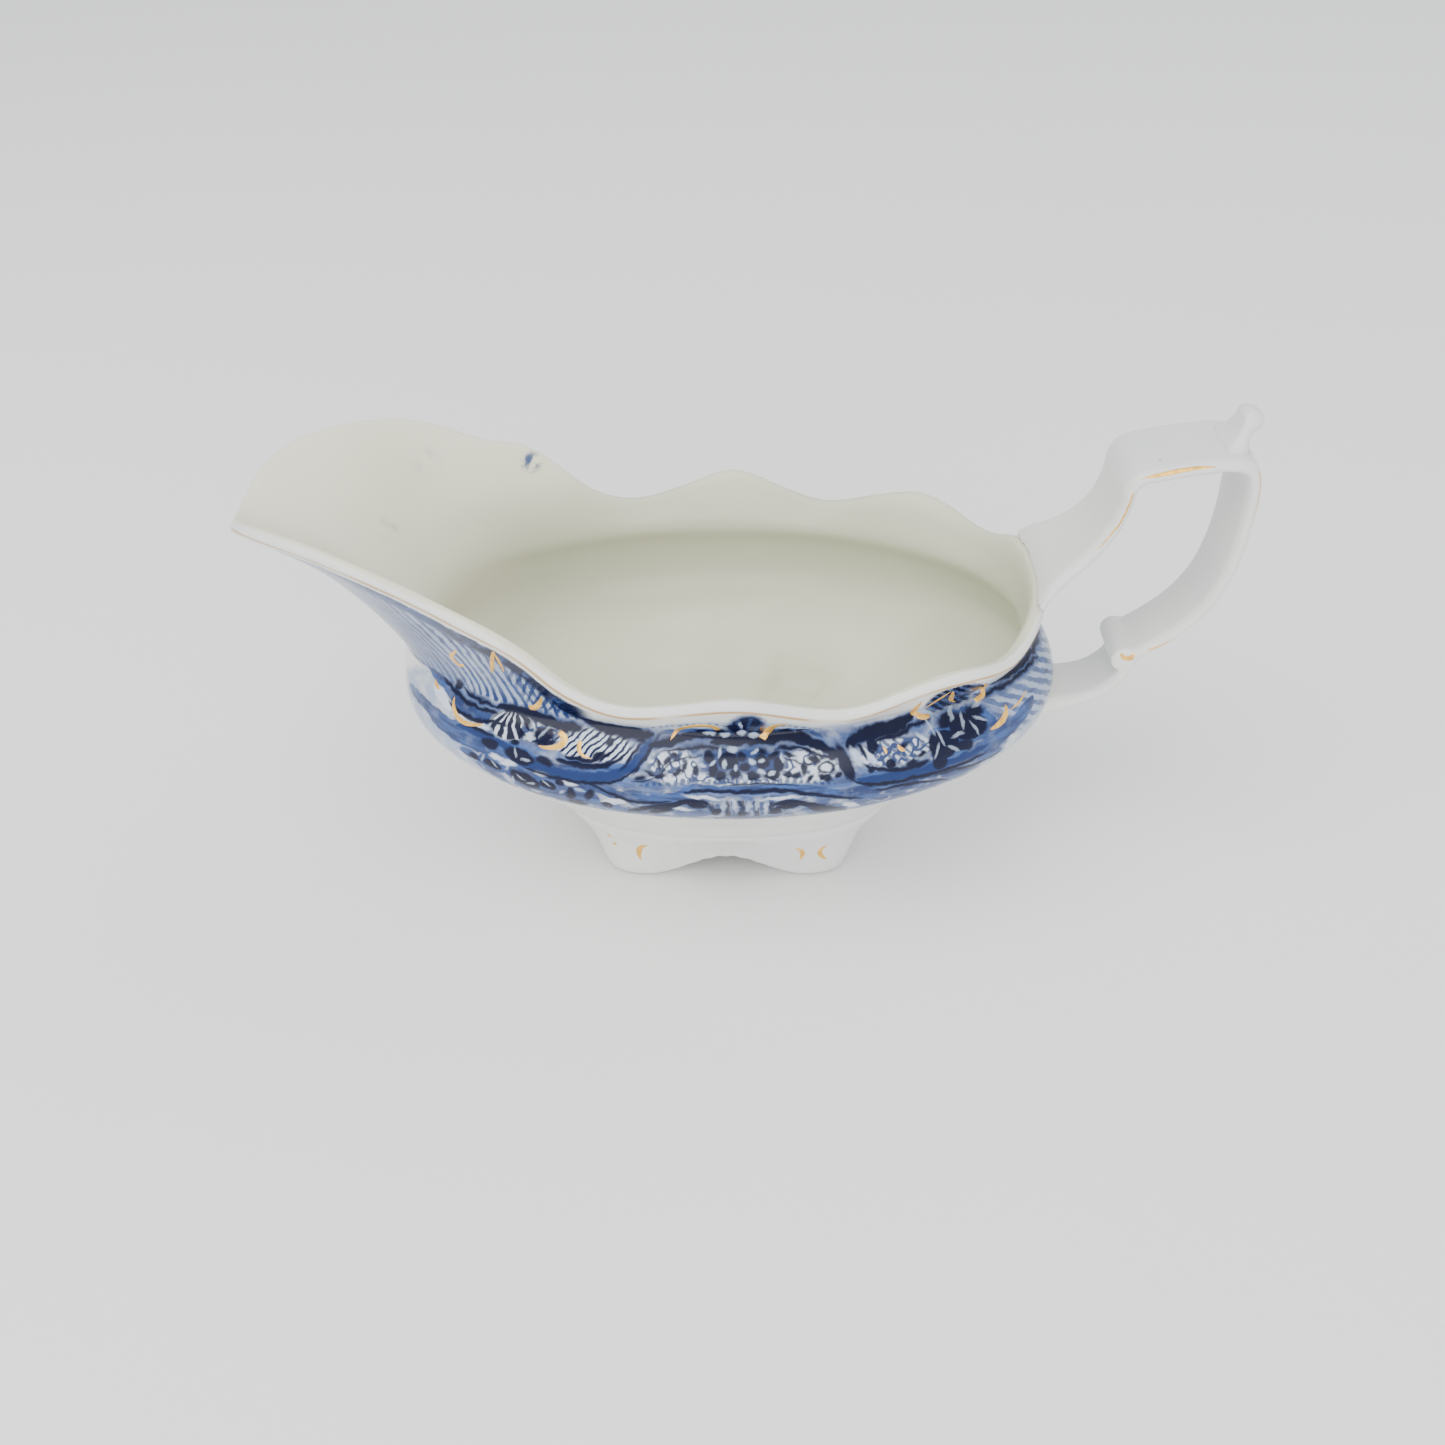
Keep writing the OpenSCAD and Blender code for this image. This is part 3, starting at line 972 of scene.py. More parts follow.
        brush.dabs(
            Ink.RESERVE,
            Dab((-21.3, 51.0), (0.6, 1.5), -28), Dab((-24.3, 50.8), (0.9, 1.0), -20),
            Dab((-44.2, 44.6), (1.7, 0.6), 10), Dab((-31.5, 43.4), (1.6, 0.5)),
            Dab((-54.5, 50.1), (4.6, 0.7), 4), Dab((-63.5, 51.6), (3.6, 1.2), -20),
            Dab((-47.0, 45.0), (1.6, 0.5)), Dab((-37.0, 44.4), (1.4, 0.5)),
        )
        shell = brush.oval(Dab((-46.0, 51.7), (4.4, 2.4)))
        spokes = brush.ribs(Dab((-47.8, 55.2), (1.6, 1.0)), 11, 0.3)
        brush.lay(Ink.RESERVE, shell)
        brush.lay(Ink.NAVY, shell.within(1.0 - spokes))

    def lip_blossoms(self) -> None:
        """The dark flowers in and under the lip's panel."""
        brush = self.brush
        brush.lay(Ink.RESERVE, brush.oval(Dab((-39.6, 51.9), (4.4, 1.7)), 0.5) * 0.8)
        blossom = brush.oval(Dab((-39.6, 51.9), (4.4, 1.9)), 0.5)
        brush.lay(Ink.INDIGO, blossom.within(brush.vines(1.9, 0.12)))
        brush.dabs(
            Ink.NAVY,
            Dab((-38.4, 51.9), (2.3, 1.0)), Dab((-37.4, 50.7), (2.4, 0.7), 8),
            Dab((-34.9, 53.0), (1.4, 0.6), -20), Dab((-41.9, 46.8), (3.3, 1.6), -4),
            Dab((-48.8, 47.4), (2.0, 1.1)), Dab((-36.6, 47.3), (1.9, 0.8), -6),
            Dab((-41.0, 41.6), (3.3, 2.0), -10), Dab((-36.0, 41.8), (1.8, 1.3)),
            Dab((-48.0, 42.8), (2.2, 1.1)), Dab((-31.4, 40.6), (1.0, 2.0), -20),
            Dab((-27.4, 41.4), (0.9, 1.8), -25), Dab((-33.2, 43.2), (1.0, 0.8)),
            Dab((-24.6, 52.4), (0.9, 0.65)), Dab((-21.6, 53.4), (1.2, 0.6)),
            Dab((-26.0, 50.0), (1.3, 0.8), 20), Dab((-60.8, 55.4), (0.9, 1.4), -30),
            Dab((-18.4, 53.1), (0.9, 0.5)), Dab((-31.0, 37.8), (2.0, 0.9), 10),
            Dab((-52.8, 42.9), (1.3, 0.7)), Dab((-43.4, 49.3), (1.0, 0.5)),
            Dab((-24.4, 39.0), (1.2, 0.9)),
        )
        brush.dabs(
            Ink.COBALT,
            Dab((-40.5, 41.8), (5.2, 2.8), -8), Dab((-48.4, 42.8), (4.0, 2.0)),
            Dab((-54.0, 43.2), (2.8, 1.2)), Dab((-29.6, 41.2), (4.4, 2.8), -20),
            Dab((-43.5, 47.0), (6.4, 2.2)), Dab((-34.6, 38.8), (4.0, 1.5), 10),
        )
        brush.sparks(
            (0.62, 0.2), 31.0,
            (-43.0, 47.4), (-40.6, 46.4), (-41.8, 42.0), (-39.8, 41.0), (-47.8, 43.2), (-36.2, 42.2),
            (-38.6, 52.2), (-44.0, 40.6), (-29.2, 42.4), (-33.4, 40.6), (-50.4, 43.6), (-44.6, 43.4),
        )

    def lip_fan(self) -> None:
        """The fan of long strokes that sweeps up under the lip, inside a dark edge."""
        brush = self.brush
        sway = brush.bench.noise(60.0, 1.0) * self.fan_sway
        bow = brush.along + self.fan_bow * brush.height + sway
        swept = bow * (2.0 * math.pi / self.fan_pitch)
        fan = brush.along.fade(-31.5, -34.5).within(brush.along.fade(-86.0, -80.0))
        fan = fan.within(brush.height.fade(54.4, 55.2)).within(brush.depth.fade(3.4, 4.6))
        brush.lay(Ink.WASH, fan)
        tone = 0.66 + 0.5 * brush.bench.noise(150.0, 2.0)
        brush.lay(Ink.COBALT, fan.within(swept.sine().fade(-0.4, 0.45)) * tone)
        side = brush.along.fade(-55.0, -66.0).within(brush.depth.fade(3.0, 8.0))
        brush.lay(Ink.COBALT, fan.within(side) * 0.62)
        roots = brush.height.fade(59.5, 55.5).within(brush.along.fade(-62.0, -50.0))
        brush.lay(Ink.INDIGO, fan.within(swept.sine().fade(0.1, 0.9)).within(roots))
        edge = brush.depth.fade(3.2, 4.2).within(brush.depth.fade(9.0, 6.4))
        run = brush.along.fade(-28.0, -33.0).within(brush.along.fade(-76.0, -64.0))
        run = run.within(brush.height.fade(54.6, 56.0))
        brush.lay(Ink.COBALT, edge.within(run))
        broken = brush.bench.noise(190.0, 2.0).fade(0.36, 0.52)
        near = brush.along.fade(-58.0, -50.0)
        brush.lay(Ink.NAVY, edge.within(run).within(broken).within(near) * 0.92)
        ladder = brush.along.fade(-31.0, -34.0).within(brush.along.fade(-47.0, -43.0))
        ladder = ladder.within(brush.height.fade(55.0, 56.0)).within(brush.depth.fade(5.0, 6.2))
        brush.lay(Ink.INDIGO, ladder.within(brush.bars(1.9, -0.75, 0.42)) * 0.95)

    def handle_panel(self) -> None:
        """The scrolled panel towards the handle: ribbon, pale petals and dark blossoms."""
        brush = self.brush
        brush.strokes(
            Ink.COBALT,
            Line(((22.0, 48.5), (24.5, 46.0), (28, 45.1), (34, 44.8), (41, 44.6), (48, 44.7),
                  (54, 45.2), (60, 46.4), (70, 48.6)), 1.75, 0.5),
        )
        brush.strokes(
            Ink.INDIGO,
            Line(((24, 46.4), (28, 45.2), (34, 44.9), (41, 44.8), (48, 44.9), (54, 45.6)), 0.8, 0.3),
        )
        brush.strokes(
            Ink.NAVY,
            Line(((23.6, 51.9), (28, 53.0), (33, 53.3), (38, 53.9), (41, 55.2)), 0.85, 0.5),
            Line(((22.4, 47.2), (25, 44.9), (30, 43.8), (38, 43.5), (46, 43.2), (54, 43.8)), 0.4, 0.5),
            Line(((26.4, 48.6), (30, 46.8), (35, 46.2), (40, 46.6)), 0.46),
            Line(((29, 52.0), (34, 52.3), (39, 52.9), (44, 53.2)), 0.3),
        )
        petals = brush.oval(Dab((33.4, 49.7), (8.4, 2.5)), 0.5)
        brush.lay(Ink.RESERVE, petals * 0.9)
        brush.lay(Ink.INDIGO, petals.within(brush.vines(2.4, 0.09)))
        brush.lay(Ink.INDIGO, petals.within(brush.bars(2.1, 0.9, 0.35)) * 0.85)
        brush.dabs(
            Ink.NAVY,
            Dab((23.0, 48.8), (1.3, 3.6), 14), Dab((29.2, 51.4), (1.0, 1.5), -30),
            Dab((31.8, 47.7), (1.1, 1.0)), Dab((36.2, 46.8), (1.3, 0.7)), Dab((33.4, 52.2), (1.6, 0.5)),
            Dab((43.6, 48.8), (3.4, 2.7)), Dab((50.2, 50.4), (4.6, 2.4), -6),
            Dab((42.1, 45.9), (1.6, 2.0)), Dab((46.8, 52.4), (2.8, 0.9), 10),
            Dab((53.4, 52.2), (2.4, 0.8)), Dab((48.0, 47.4), (2.2, 1.1)),
            Dab((26.8, 50.9), (0.4, 1.2), 20), Dab((38.4, 48.2), (1.0, 0.5), 20),
            Dab((35.2, 50.4), (1.2, 0.3), 12), Dab((27.8, 47.2), (0.8, 0.7)),
        )
        brush.dabs(Ink.SPARK, Dab((25.3, 50.2), (0.7, 1.6), 20), Dab((28.2, 49.2), (0.7, 1.0), 24))
        brush.sparks(
            (0.95, 0.2), 23.0,
            (47.2, 49.6), (51.4, 49.7), (43.4, 50.2), (45.4, 47.4), (49.6, 51.6), (53.6, 50.8),
            (41.8, 48.0), (48.6, 53.2), (42.6, 52.4), (55.0, 52.9),
        )

    def handle_end(self) -> None:
        """The tent of dark strokes at the neck and the streaks that run round under the handle."""
        brush = self.brush
        neck = brush.oval(Dab((48.4, 57.0), (7.6, 4.2), -30), 0.6).within(brush.height.fade(53.4, 54.4))
        neck = neck.within(brush.depth.fade(2.6, 3.4))
        rays = brush.bars(2.3, 1.5, 0.35)
        brush.lay(Ink.COBALT, neck)
        brush.lay(Ink.NAVY, neck.within(1.0 - 0.8 * rays))
        brush.strokes(
            Ink.NAVY,
            Line(((50, 60.4), (54, 58.0), (59, 55.6), (66, 54.5), (78, 53.9), (92, 52.8)), 0.5, 0.6),
            Line(((56, 54.2), (62, 53.4), (70, 53.2), (80, 52.6)), 0.3),
        )
        reach = brush.along.fade(50.0, 58.0).within(brush.height.fade(43.4, 45.6))
        reach = reach.within(brush.height.fade(54.8, 53.8))
        brush.lay(Ink.WASH, reach)
        leaning = brush.along + self.sweep_lean * brush.height
        sweep = (leaning * (2.0 * math.pi / self.sweep_pitch)).sine().fade(-0.6, 0.5)
        tone = 0.55 + 0.5 * brush.bench.noise(130.0, 2.0)
        brush.lay(Ink.COBALT, reach.within(sweep) * tone)
        brush.dabs(
            Ink.COBALT,
            Dab((44.5, 48.9), (5.0, 3.4)), Dab((51.0, 50.3), (6.4, 3.2), -6),
            Dab((56.5, 47.6), (4.6, 1.7), 10), Dab((36.0, 41.8), (4.4, 1.4), -16),
            Dab((46.0, 41.4), (5.2, 1.5), -24), Dab((54.6, 42.6), (4.2, 1.2), -10),
            Dab((49.0, 38.8), (3.4, 1.0), -24), Dab((30.0, 40.0), (3.0, 1.2), -26),
        )
        brush.strokes(
            Ink.NAVY,
            Line(((28, 42.2), (34, 42.4), (40, 41.4), (46, 39.4)), 0.32),
            Line(((40, 42.6), (46, 42.4), (52, 41.4), (58, 41.8)), 0.3),
        )

    def gilded_lip(self, colour: Signal) -> Signal:
        """The thin gold line just under the lip, worn away in places.

        Args:
            colour: The painted colour.

        Returns:
            The colour with the line on it.
        """
        brush = self.brush
        depth = brush.bench.node("ShaderNodeSeparateXYZ", {}, {"Vector": brush.chart}, output="Z")
        line = abs(depth - self.lip_gold_depth).fade(0.50, 0.20)
        wear = brush.bench.noise(55.0, 3.0).fade(0.32, 0.56)
        return brush.bench.mix(line.within(0.25 + 0.75 * wear) * 0.9, colour, self.lip_gold)


# ---------------------------------------------------------------- meshes


def mesh_object(name: str, mesh: bpy.types.Mesh) -> bpy.types.Object:
    """Puts a mesh in the scene as a smooth-shaded object at the origin.

    Args:
        name: The object's name.
        mesh: Its mesh.

    Returns:
        The new object.
    """
    mesh.name = name
    made = bpy.data.objects.new(name, mesh)
    bpy.context.scene.collection.objects.link(made)
    mesh.shade_smooth()
    return made


def evaluated(bm: bmesh.types.BMesh, name: str, kind: str, **settings: Any) -> bpy.types.Mesh:
    """The mesh that one modifier makes of a shape.

    Args:
        bm: The shape, which is freed.
        name: The name of the piece that it is for.
        kind: The modifier's type.
        settings: The modifier's settings, in the order that they are set.

    Returns:
        The new mesh.
    """
    coarse = bpy.data.meshes.new(name + "_coarse")
    bm.to_mesh(coarse)
    bm.free()
    helper = bpy.data.objects.new(name + "_coarse", coarse)
    bpy.context.scene.collection.objects.link(helper)
    modifier = helper.modifiers.new("finish", kind)
    for key, value in settings.items():
        setattr(modifier, key, value)
    graph = bpy.context.evaluated_depsgraph_get()
    fine = bpy.data.meshes.new_from_object(helper.evaluated_get(graph))
    bpy.data.objects.remove(helper)
    bpy.data.meshes.remove(coarse)
    return fine


def smoothed(bm: bmesh.types.BMesh, verts: Sequence[bmesh.types.BMVert], passes: int) -> None:
    """Moves vertices half the way to their neighbours' middle, several times.

    Args:
        bm: The shape.
        verts: The vertices to move.
        passes: How many times.
    """
    for _ in range(passes):
        bmesh.ops.smooth_vert(
            bm, verts=verts, factor=0.5, use_axis_x=True, use_axis_y=True, use_axis_z=True
        )


def subdivided(bm: bmesh.types.BMesh, name: str, levels: int) -> bpy.types.Object:
    """Turns a bmesh into an object whose Subdivision Surface is already part of its mesh.

    Args:
        bm: The coarse shape, which is freed.
        name: The object's name.
        levels: Subdivision levels.

    Returns:
        The new object.
    """
    return mesh_object(name, evaluated(bm, name, "SUBSURF", levels=levels, render_levels=levels))


def rounded(bm: bmesh.types.BMesh, name: str, voxel: float, passes: int) -> bpy.types.Object:
    """Rounds a shape's edges as a glazed casting's are, by an even remesh and light smoothing.

    Args:
        bm: The shape, which is freed.
        name: The object's name.
        voxel: The remesh's size in metres.
        passes: Smoothing passes.

    Returns:
        The new object.
    """
    fine = evaluated(bm, name, "REMESH", mode="VOXEL", voxel_size=voxel)
    bm = bmesh.new()
    bm.from_mesh(fine)
    smoothed(bm, bm.verts, passes)
    bm.to_mesh(fine)
    bm.free()
    return mesh_object(name, fine)


def merged_copy(node: str) -> bmesh.types.BMesh:
    """A copy of a CAD node with its doubles merged and its triangles paired.

    Args:
        node: The CAD node's name.

    Returns:
        The copy.
    """
    bm = bmesh.new()
    bm.from_mesh(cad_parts[node].data)
    bmesh.ops.remove_doubles(bm, verts=bm.verts, dist=DOUBLES)
    bmesh.ops.dissolve_degenerate(bm, edges=bm.edges, dist=DOUBLES)
    bmesh.ops.join_triangles(
        bm,
        faces=bm.faces,
        angle_face_threshold=math.radians(40),
        angle_shape_threshold=math.radians(60),
    )
    for face in bm.faces:
        face.material_index = 0
    return bm


def dress(piece: bpy.types.Object, *materials: bpy.types.Material) -> None:
    """Gives a piece its finishes, in place of any that came with its mesh.

    Args:
        piece: The piece.
        materials: The finishes, in the order of the faces' material numbers.
    """
    piece.data.materials.clear()
    for material in materials:
        piece.data.materials.append(material)


def enlist(piece: bpy.types.Object, slot: str, *nodes: str) -> None:
    """Attaches a finished piece to the root body, hides the CAD nodes that it stands for, and logs its
    faces.

    Args:
        piece: The piece.
        slot: Not used.
        nodes: The CAD nodes that it stands for.
    """
    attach(piece, "root")
    if nodes:
        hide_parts(*nodes)
    log.info("%s: %d faces", piece.name, len(piece.data.polygons))


# ---------------------------------------------------------------- the wall's chart


@dataclass
class WallChart:
    """Places on the outer wall: millimetres along it from the middle of a side, and height."""

    half_length: float = 69.0
    half_width: float = 47.0
    centre_x: float = -2.7
    samples: int = 361
    _along: np.ndarray = field(init=False)
    _bearings: np.ndarray = field(init=False)

    def __post_init__(self) -> None:
        """Measures the belly's oval from its side to its end."""
        self._bearings = np.linspace(math.pi / 2, 0.0, self.samples)
        speed = np.hypot(
            self.half_length * np.sin(self._bearings), self.half_width * np.cos(self._bearings)
        )
        steps = (speed[1:] + speed[:-1]) / 2 * np.abs(np.diff(self._bearings))
        self._along = np.concatenate([[0.0], np.cumsum(steps)])

    def along(self, x: float, y: float) -> float:
        """How far along the wall a place is, which is positive towards the handle.

        Args:
            x: The place's x in millimetres.
            y: Its y in millimetres.

        Returns:
            The distance in millimetres from the middle of the side.
        """
        bearing = math.atan2(abs(y) / self.half_width, (x - self.centre_x) / self.half_length)
        toward_end = min(bearing, math.pi - bearing)
        length = float(np.interp(-toward_end, -self._bearings, self._along))
        return length if bearing <= math.pi / 2 else -length

    def outward(self, along: float, side: int) -> Vector:
        """The level direction out of the jug at a distance along the wall.

        Args:
            along: Millimetres from the middle of the side.
            side: -1 for the front and 1 for the back.

        Returns:
            A unit vector.
        """
        bearing = float(np.interp(abs(along), self._along, self._bearings))
        x = self.half_length * math.cos(bearing) * (1 if along >= 0 else -1)
        return Vector((x, side * self.half_width * math.sin(bearing), 0.0)).normalized()


class Wall:
    """The finished outer surface of the bowl, for laying things on."""

    reach = 0.2

    def __init__(self, chart: WallChart, piece: bpy.types.Object) -> None:
        """Prepares a piece for measuring.

        Args:
            chart: The wall's chart.
            piece: The bowl.
        """
        self.chart = chart
        self.tree = BVHTree.FromPolygons(
            [v.co for v in piece.data.vertices], [p.vertices for p in piece.data.polygons]
        )

    def at(self, place: Sequence[float], side: int) -> tuple[Vector, Vector]:
        """The surface at a place.

        Args:
            place: Millimetres along the wall and up it, or a point in millimetres close to the surface.
            side: -1 for the front and 1 for the back.

        Returns:
            The point and the outward normal.
        """
        if len(place) == 3:
            x, y, z = place
            hit, normal, _, _ = self.tree.find_nearest(Vector((x, side * abs(y), z)) * MM)
            return hit, normal
        along, height = place
        out = self.chart.outward(along, side)
        axis = Vector((self.chart.centre_x * MM, 0.0, height * MM))
        hit, normal, _, _ = self.tree.ray_cast(axis + out * self.reach, -out)
        if hit is None:
            raise ValueError(f"no wall at {along}, {height}")
        return hit, normal


# ---------------------------------------------------------------- castings


@dataclass
class Bowl:
    """The bowl with its neck, lobed rim and pouring lip."""

    chart: WallChart
    inside: bpy.types.Material
    outside: bpy.types.Material
    name: str = "bowl_and_lip"
    levels: int = 2
    rim_bins: int = 480
    floor_corner: tuple[float, float] = (0.0148, 0.030)
    floor_rise: float = 0.3
    floor_passes: int = 10
    under_corner: tuple[float, float] = (0.0145, 0.036)
    under_fall: float = -0.15
    under_passes: int = 5
    peak_bins: int = 2
    blur_bins: int = 3
    rim_tilt: float = 0.4
    inside_below: float = -0.1

    def build(self) -> bpy.types.Object:
        """Makes the smooth bowl.

        Returns:
            The bowl, with its painting coordinates.
        """
        coarse = merged_copy("body")
        self._soften_floor(coarse)
        piece = subdivided(coarse, self.name, self.levels)
        dress(piece, self.inside, self.outside)
        self._chart_wall(piece.data)
        return piece

    def _soften_floor(self, bm: bmesh.types.BMesh) -> None:
        """Rounds the corner between the bowl's floor and its wall, inside and underneath.

        Args:
            bm: The coarse bowl.
        """
        bm.normal_update()
        low, high = self.floor_corner
        inner = [v for v in bm.verts if low < v.co.z < high and v.normal.z > self.floor_rise]
        low, high = self.under_corner
        under = [v for v in bm.verts if low < v.co.z < high and v.normal.z < self.under_fall]
        smoothed(bm, inner, self.floor_passes)
        smoothed(bm, under, self.under_passes)

    @staticmethod
    def _rolled(values: np.ndarray, bins: int) -> list[np.ndarray]:
        """The values round the rim, shifted by up to a number of bins either way."""
        return [np.roll(values, shift) for shift in range(-bins, bins + 1)]

    def _depths(self, places: np.ndarray) -> np.ndarray:
        """How far each place is below the rim, measured across the rim's own slope.

        Args:
            places: The places in millimetres.

        Returns:
            The depths in millimetres.
        """
        turn = np.arctan2(places[:, 1], places[:, 0] - self.chart.centre_x)
        bins = ((turn / (2 * math.pi) + 0.5) * self.rim_bins).astype(int) % self.rim_bins
        tops = np.zeros(self.rim_bins)
        reach = np.zeros(self.rim_bins)
        order = np.argsort(places[:, 2])
        tops[bins[order]] = places[order, 2]
        reach[bins[order]] = np.hypot(places[order, 0] - self.chart.centre_x, places[order, 1])
        peaks = np.max(self._rolled(tops, self.peak_bins), axis=0)
        height = np.mean(self._rolled(peaks, self.blur_bins), axis=0)
        reach = np.mean(self._rolled(reach, self.blur_bins), axis=0)
        step = reach * 2 * math.pi / self.rim_bins
        slope = (np.roll(height, -1) - np.roll(height, 1)) / (2 * step)
        middles = (np.arange(self.rim_bins) + 0.5) / self.rim_bins * 2 * math.pi - math.pi
        top = np.interp(turn, middles, height, period=2 * math.pi)
        across = np.interp(turn, middles, 1.0 / np.sqrt(1.0 + slope**2), period=2 * math.pi)
        return (top - places[:, 2]) * across

    def _chart_wall(self, mesh: bpy.types.Mesh) -> None:
        """Stores along, height and depth below the rim at each vertex, and splits the finishes.

        Args:
            mesh: The bowl's mesh.
        """
        count = len(mesh.vertices)
        places = np.empty(count * 3)
        mesh.vertices.foreach_get("co", places)
        places = places.reshape(-1, 3) / MM
        normals = np.empty(count * 3)
        mesh.vertices.foreach_get("normal", normals)
        normals = normals.reshape(-1, 3)
        chart = np.empty((count, 3))
        chart[:, 0] = [self.chart.along(x, y) for x, y, _ in places]
        chart[:, 1] = places[:, 2]
        chart[:, 2] = self._depths(places)
        painting = mesh.attributes.new(PAINTING, "FLOAT_VECTOR", "POINT")
        painting.data.foreach_set("vector", chart.ravel())
        level = places[:, :2] - (self.chart.centre_x, 0.0)
        outward = (normals[:, :2] * level).sum(axis=1) / np.linalg.norm(level, axis=1)
        outside = outward - self.rim_tilt * normals[:, 2] > self.inside_below
        for face in mesh.polygons:
            face.material_index = int(all(outside[v] for v in face.vertices))


@dataclass
class Foot:
    """The low foot on four toes, fluted between them."""

    name: str = "foot_ring"
    levels: int = 2
    cove_start: float = 0.55
    cove_spread: float = 0.075
    cove_rise: float = 0.0026
    flute_depth: float = 0.00022
    flutes: int = 56

    def build(self) -> bpy.types.Object:
        """Makes the foot, which runs up into the bowl in a soft cove.

        Returns:
            The foot.
        """
        piece = subdivided(merged_copy("foot"), self.name, self.levels)
        low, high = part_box("foot")
        middle = (low + high) / 2
        half = (high - low) / 2
        normals = np.empty(len(piece.data.vertices) * 3)
        piece.data.vertices.foreach_get("normal", normals)
        for vertex, normal in zip(piece.data.vertices, normals.reshape(-1, 3)):
            place = vertex.co
            out_x = (place.x - middle.x) / half.x
            out_y = (place.y - middle.y) / half.y
            if normal[0] * out_x / half.x + normal[1] * out_y / half.y <= 0.0:
                continue
            share = place.z / high.z
            climb = max(0.0, (share - self.cove_start) / (1.0 - self.cove_start)) ** 2
            bearing = math.atan2(out_y, out_x)
            flute = self.flute_depth * math.cos(self.flutes * bearing) * math.cos(2.0 * bearing) ** 2
            spread = 1.0 + self.cove_spread * climb + flute * math.sin(math.pi * share) / half.y
            place.x = middle.x + (place.x - middle.x) * spread
            place.y = middle.y + (place.y - middle.y) * spread
            place.z += self.cove_rise * climb
        return piece


@dataclass
class Handle:
    """The strap handle with its flat top, grip and lower arm."""

    name: str = "strap_handle"
    voxel: float = 0.00042
    passes: int = 5
    root_above: float = 0.060
    root_end: float = 0.072
    root_length: float = 0.012
    root_spread: float = 0.12

    def build(self) -> bpy.types.Object:
        """Makes the handle, whose root spreads where it meets the rim.

        Returns:
            The handle.
        """
        coarse = merged_copy("handle")
        for vert in coarse.verts:
            if vert.co.z > self.root_above:
                spread = min(max((self.root_end - vert.co.x) / self.root_length, 0.0), 1.0)
                vert.co.y *= 1.0 + self.root_spread * spread**2
        return rounded(coarse, self.name, self.voxel, self.passes)


@dataclass
class ThumbRest:
    """The small spur on top of the handle."""

    name: str = "thumb_spur"
    voxel: float = 0.00030
    passes: int = 2
    spread: float = 0.0034

    def build(self) -> bpy.types.Object:
        """Makes the thumb rest, a horn that spreads down to the plate.

        Returns:
            The thumb rest.
        """
        coarse = merged_copy("thumb_rest")
        low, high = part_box("thumb_rest")
        for vert in coarse.verts:
            down = (high.z - vert.co.z) / (high.z - low.z)
            inward = (high.x - vert.co.x) / (high.x - low.x)
            vert.co.x -= self.spread * down**2 * inward
        return rounded(coarse, self.name, self.voxel, self.passes)


# ---------------------------------------------------------------- raised gilding


@dataclass(frozen=True)
class GoldStroke:
    """One raised stroke of gold, with its widest half width and where along it that comes.

    Its middle line is on the wall's chart where a place has two numbers, and close to the surface
    where it has three.
    """

    line: tuple[tuple[float, ...], ...]
    half: float
    heavy_at: float = 0.5


GOLD_ON_WALL = (
    GoldStroke(
        ((-12.9, 52.6), (-11.6, 54.6), (-9.4, 56.4), (-6.2, 57.4), (-3.6, 57.0), (-2.4, 55.6)), 0.62, 0.7),
    GoldStroke(((7.0, 53.7), (8.2, 54.9), (8.9, 56.8), (10.4, 57.9), (13.2, 57.6)), 0.72, 0.3),
    GoldStroke(((39.4, 60.0), (39.9, 57.4), (40.6, 55.2), (42.0, 53.9), (43.8, 53.6)), 0.66, 0.6),
    GoldStroke(((43.2, 55.0), (44.0, 57.6), (45.2, 60.8)), 0.34),
    GoldStroke(((45.2, 60.8), (47.0, 58.2), (49.0, 55.8), (51.2, 54.2)), 0.5),
    GoldStroke(((52.4, 60.0), (55.6, 57.6), (58.8, 55.2), (58.2, 53.8), (55.4, 53.4)), 0.52, 0.7),
    GoldStroke(((61.2, 51.2), (60.2, 49.6), (57.6, 48.4), (54.2, 48.2)), 0.62),
    GoldStroke(((61.0, 49.6), (65.0, 49.9), (69.0, 50.8)), 0.2),
    GoldStroke(((34.0, 50.9), (34.6, 50.0), (35.4, 49.6)), 0.36),
    GoldStroke(((31.0, 51.0), (31.4, 50.2), (31.2, 49.6)), 0.24),
    GoldStroke(((-35.6, 52.7), (-34.0, 52.0), (-34.0, 50.9), (-36.0, 50.0), (-39.6, 49.7)), 0.6, 0.35),
    GoldStroke(((-30.6, 52.0), (-30.3, 50.8), (-29.2, 49.8), (-26.6, 49.3)), 0.38, 0.25),
    GoldStroke(((-39.4, 60.2), (-41.0, 57.6), (-42.4, 55.9), (-44.0, 55.3)), 0.55, 0.75),
    GoldStroke(((-44.2, 71.0), (-46.4, 67.8), (-48.4, 64.6), (-49.6, 62.4)), 0.42, 0.4),
    GoldStroke(((-44.2, 71.0), (-44.9, 67.6), (-45.8, 64.2)), 0.32),
    GoldStroke(((-54.4, 67.6), (-56.8, 65.4), (-58.8, 63.4), (-58.2, 61.4), (-56.6, 62.2)), 0.42, 0.6),
    GoldStroke(((-60.9, 53.6), (-60.0, 51.4), (-58.2, 49.8), (-55.4, 49.4), (-51.6, 50.4)), 0.5, 0.55),
    GoldStroke(((-67.6, 54.0), (-66.4, 53.0), (-64.8, 52.6)), 0.4),
)
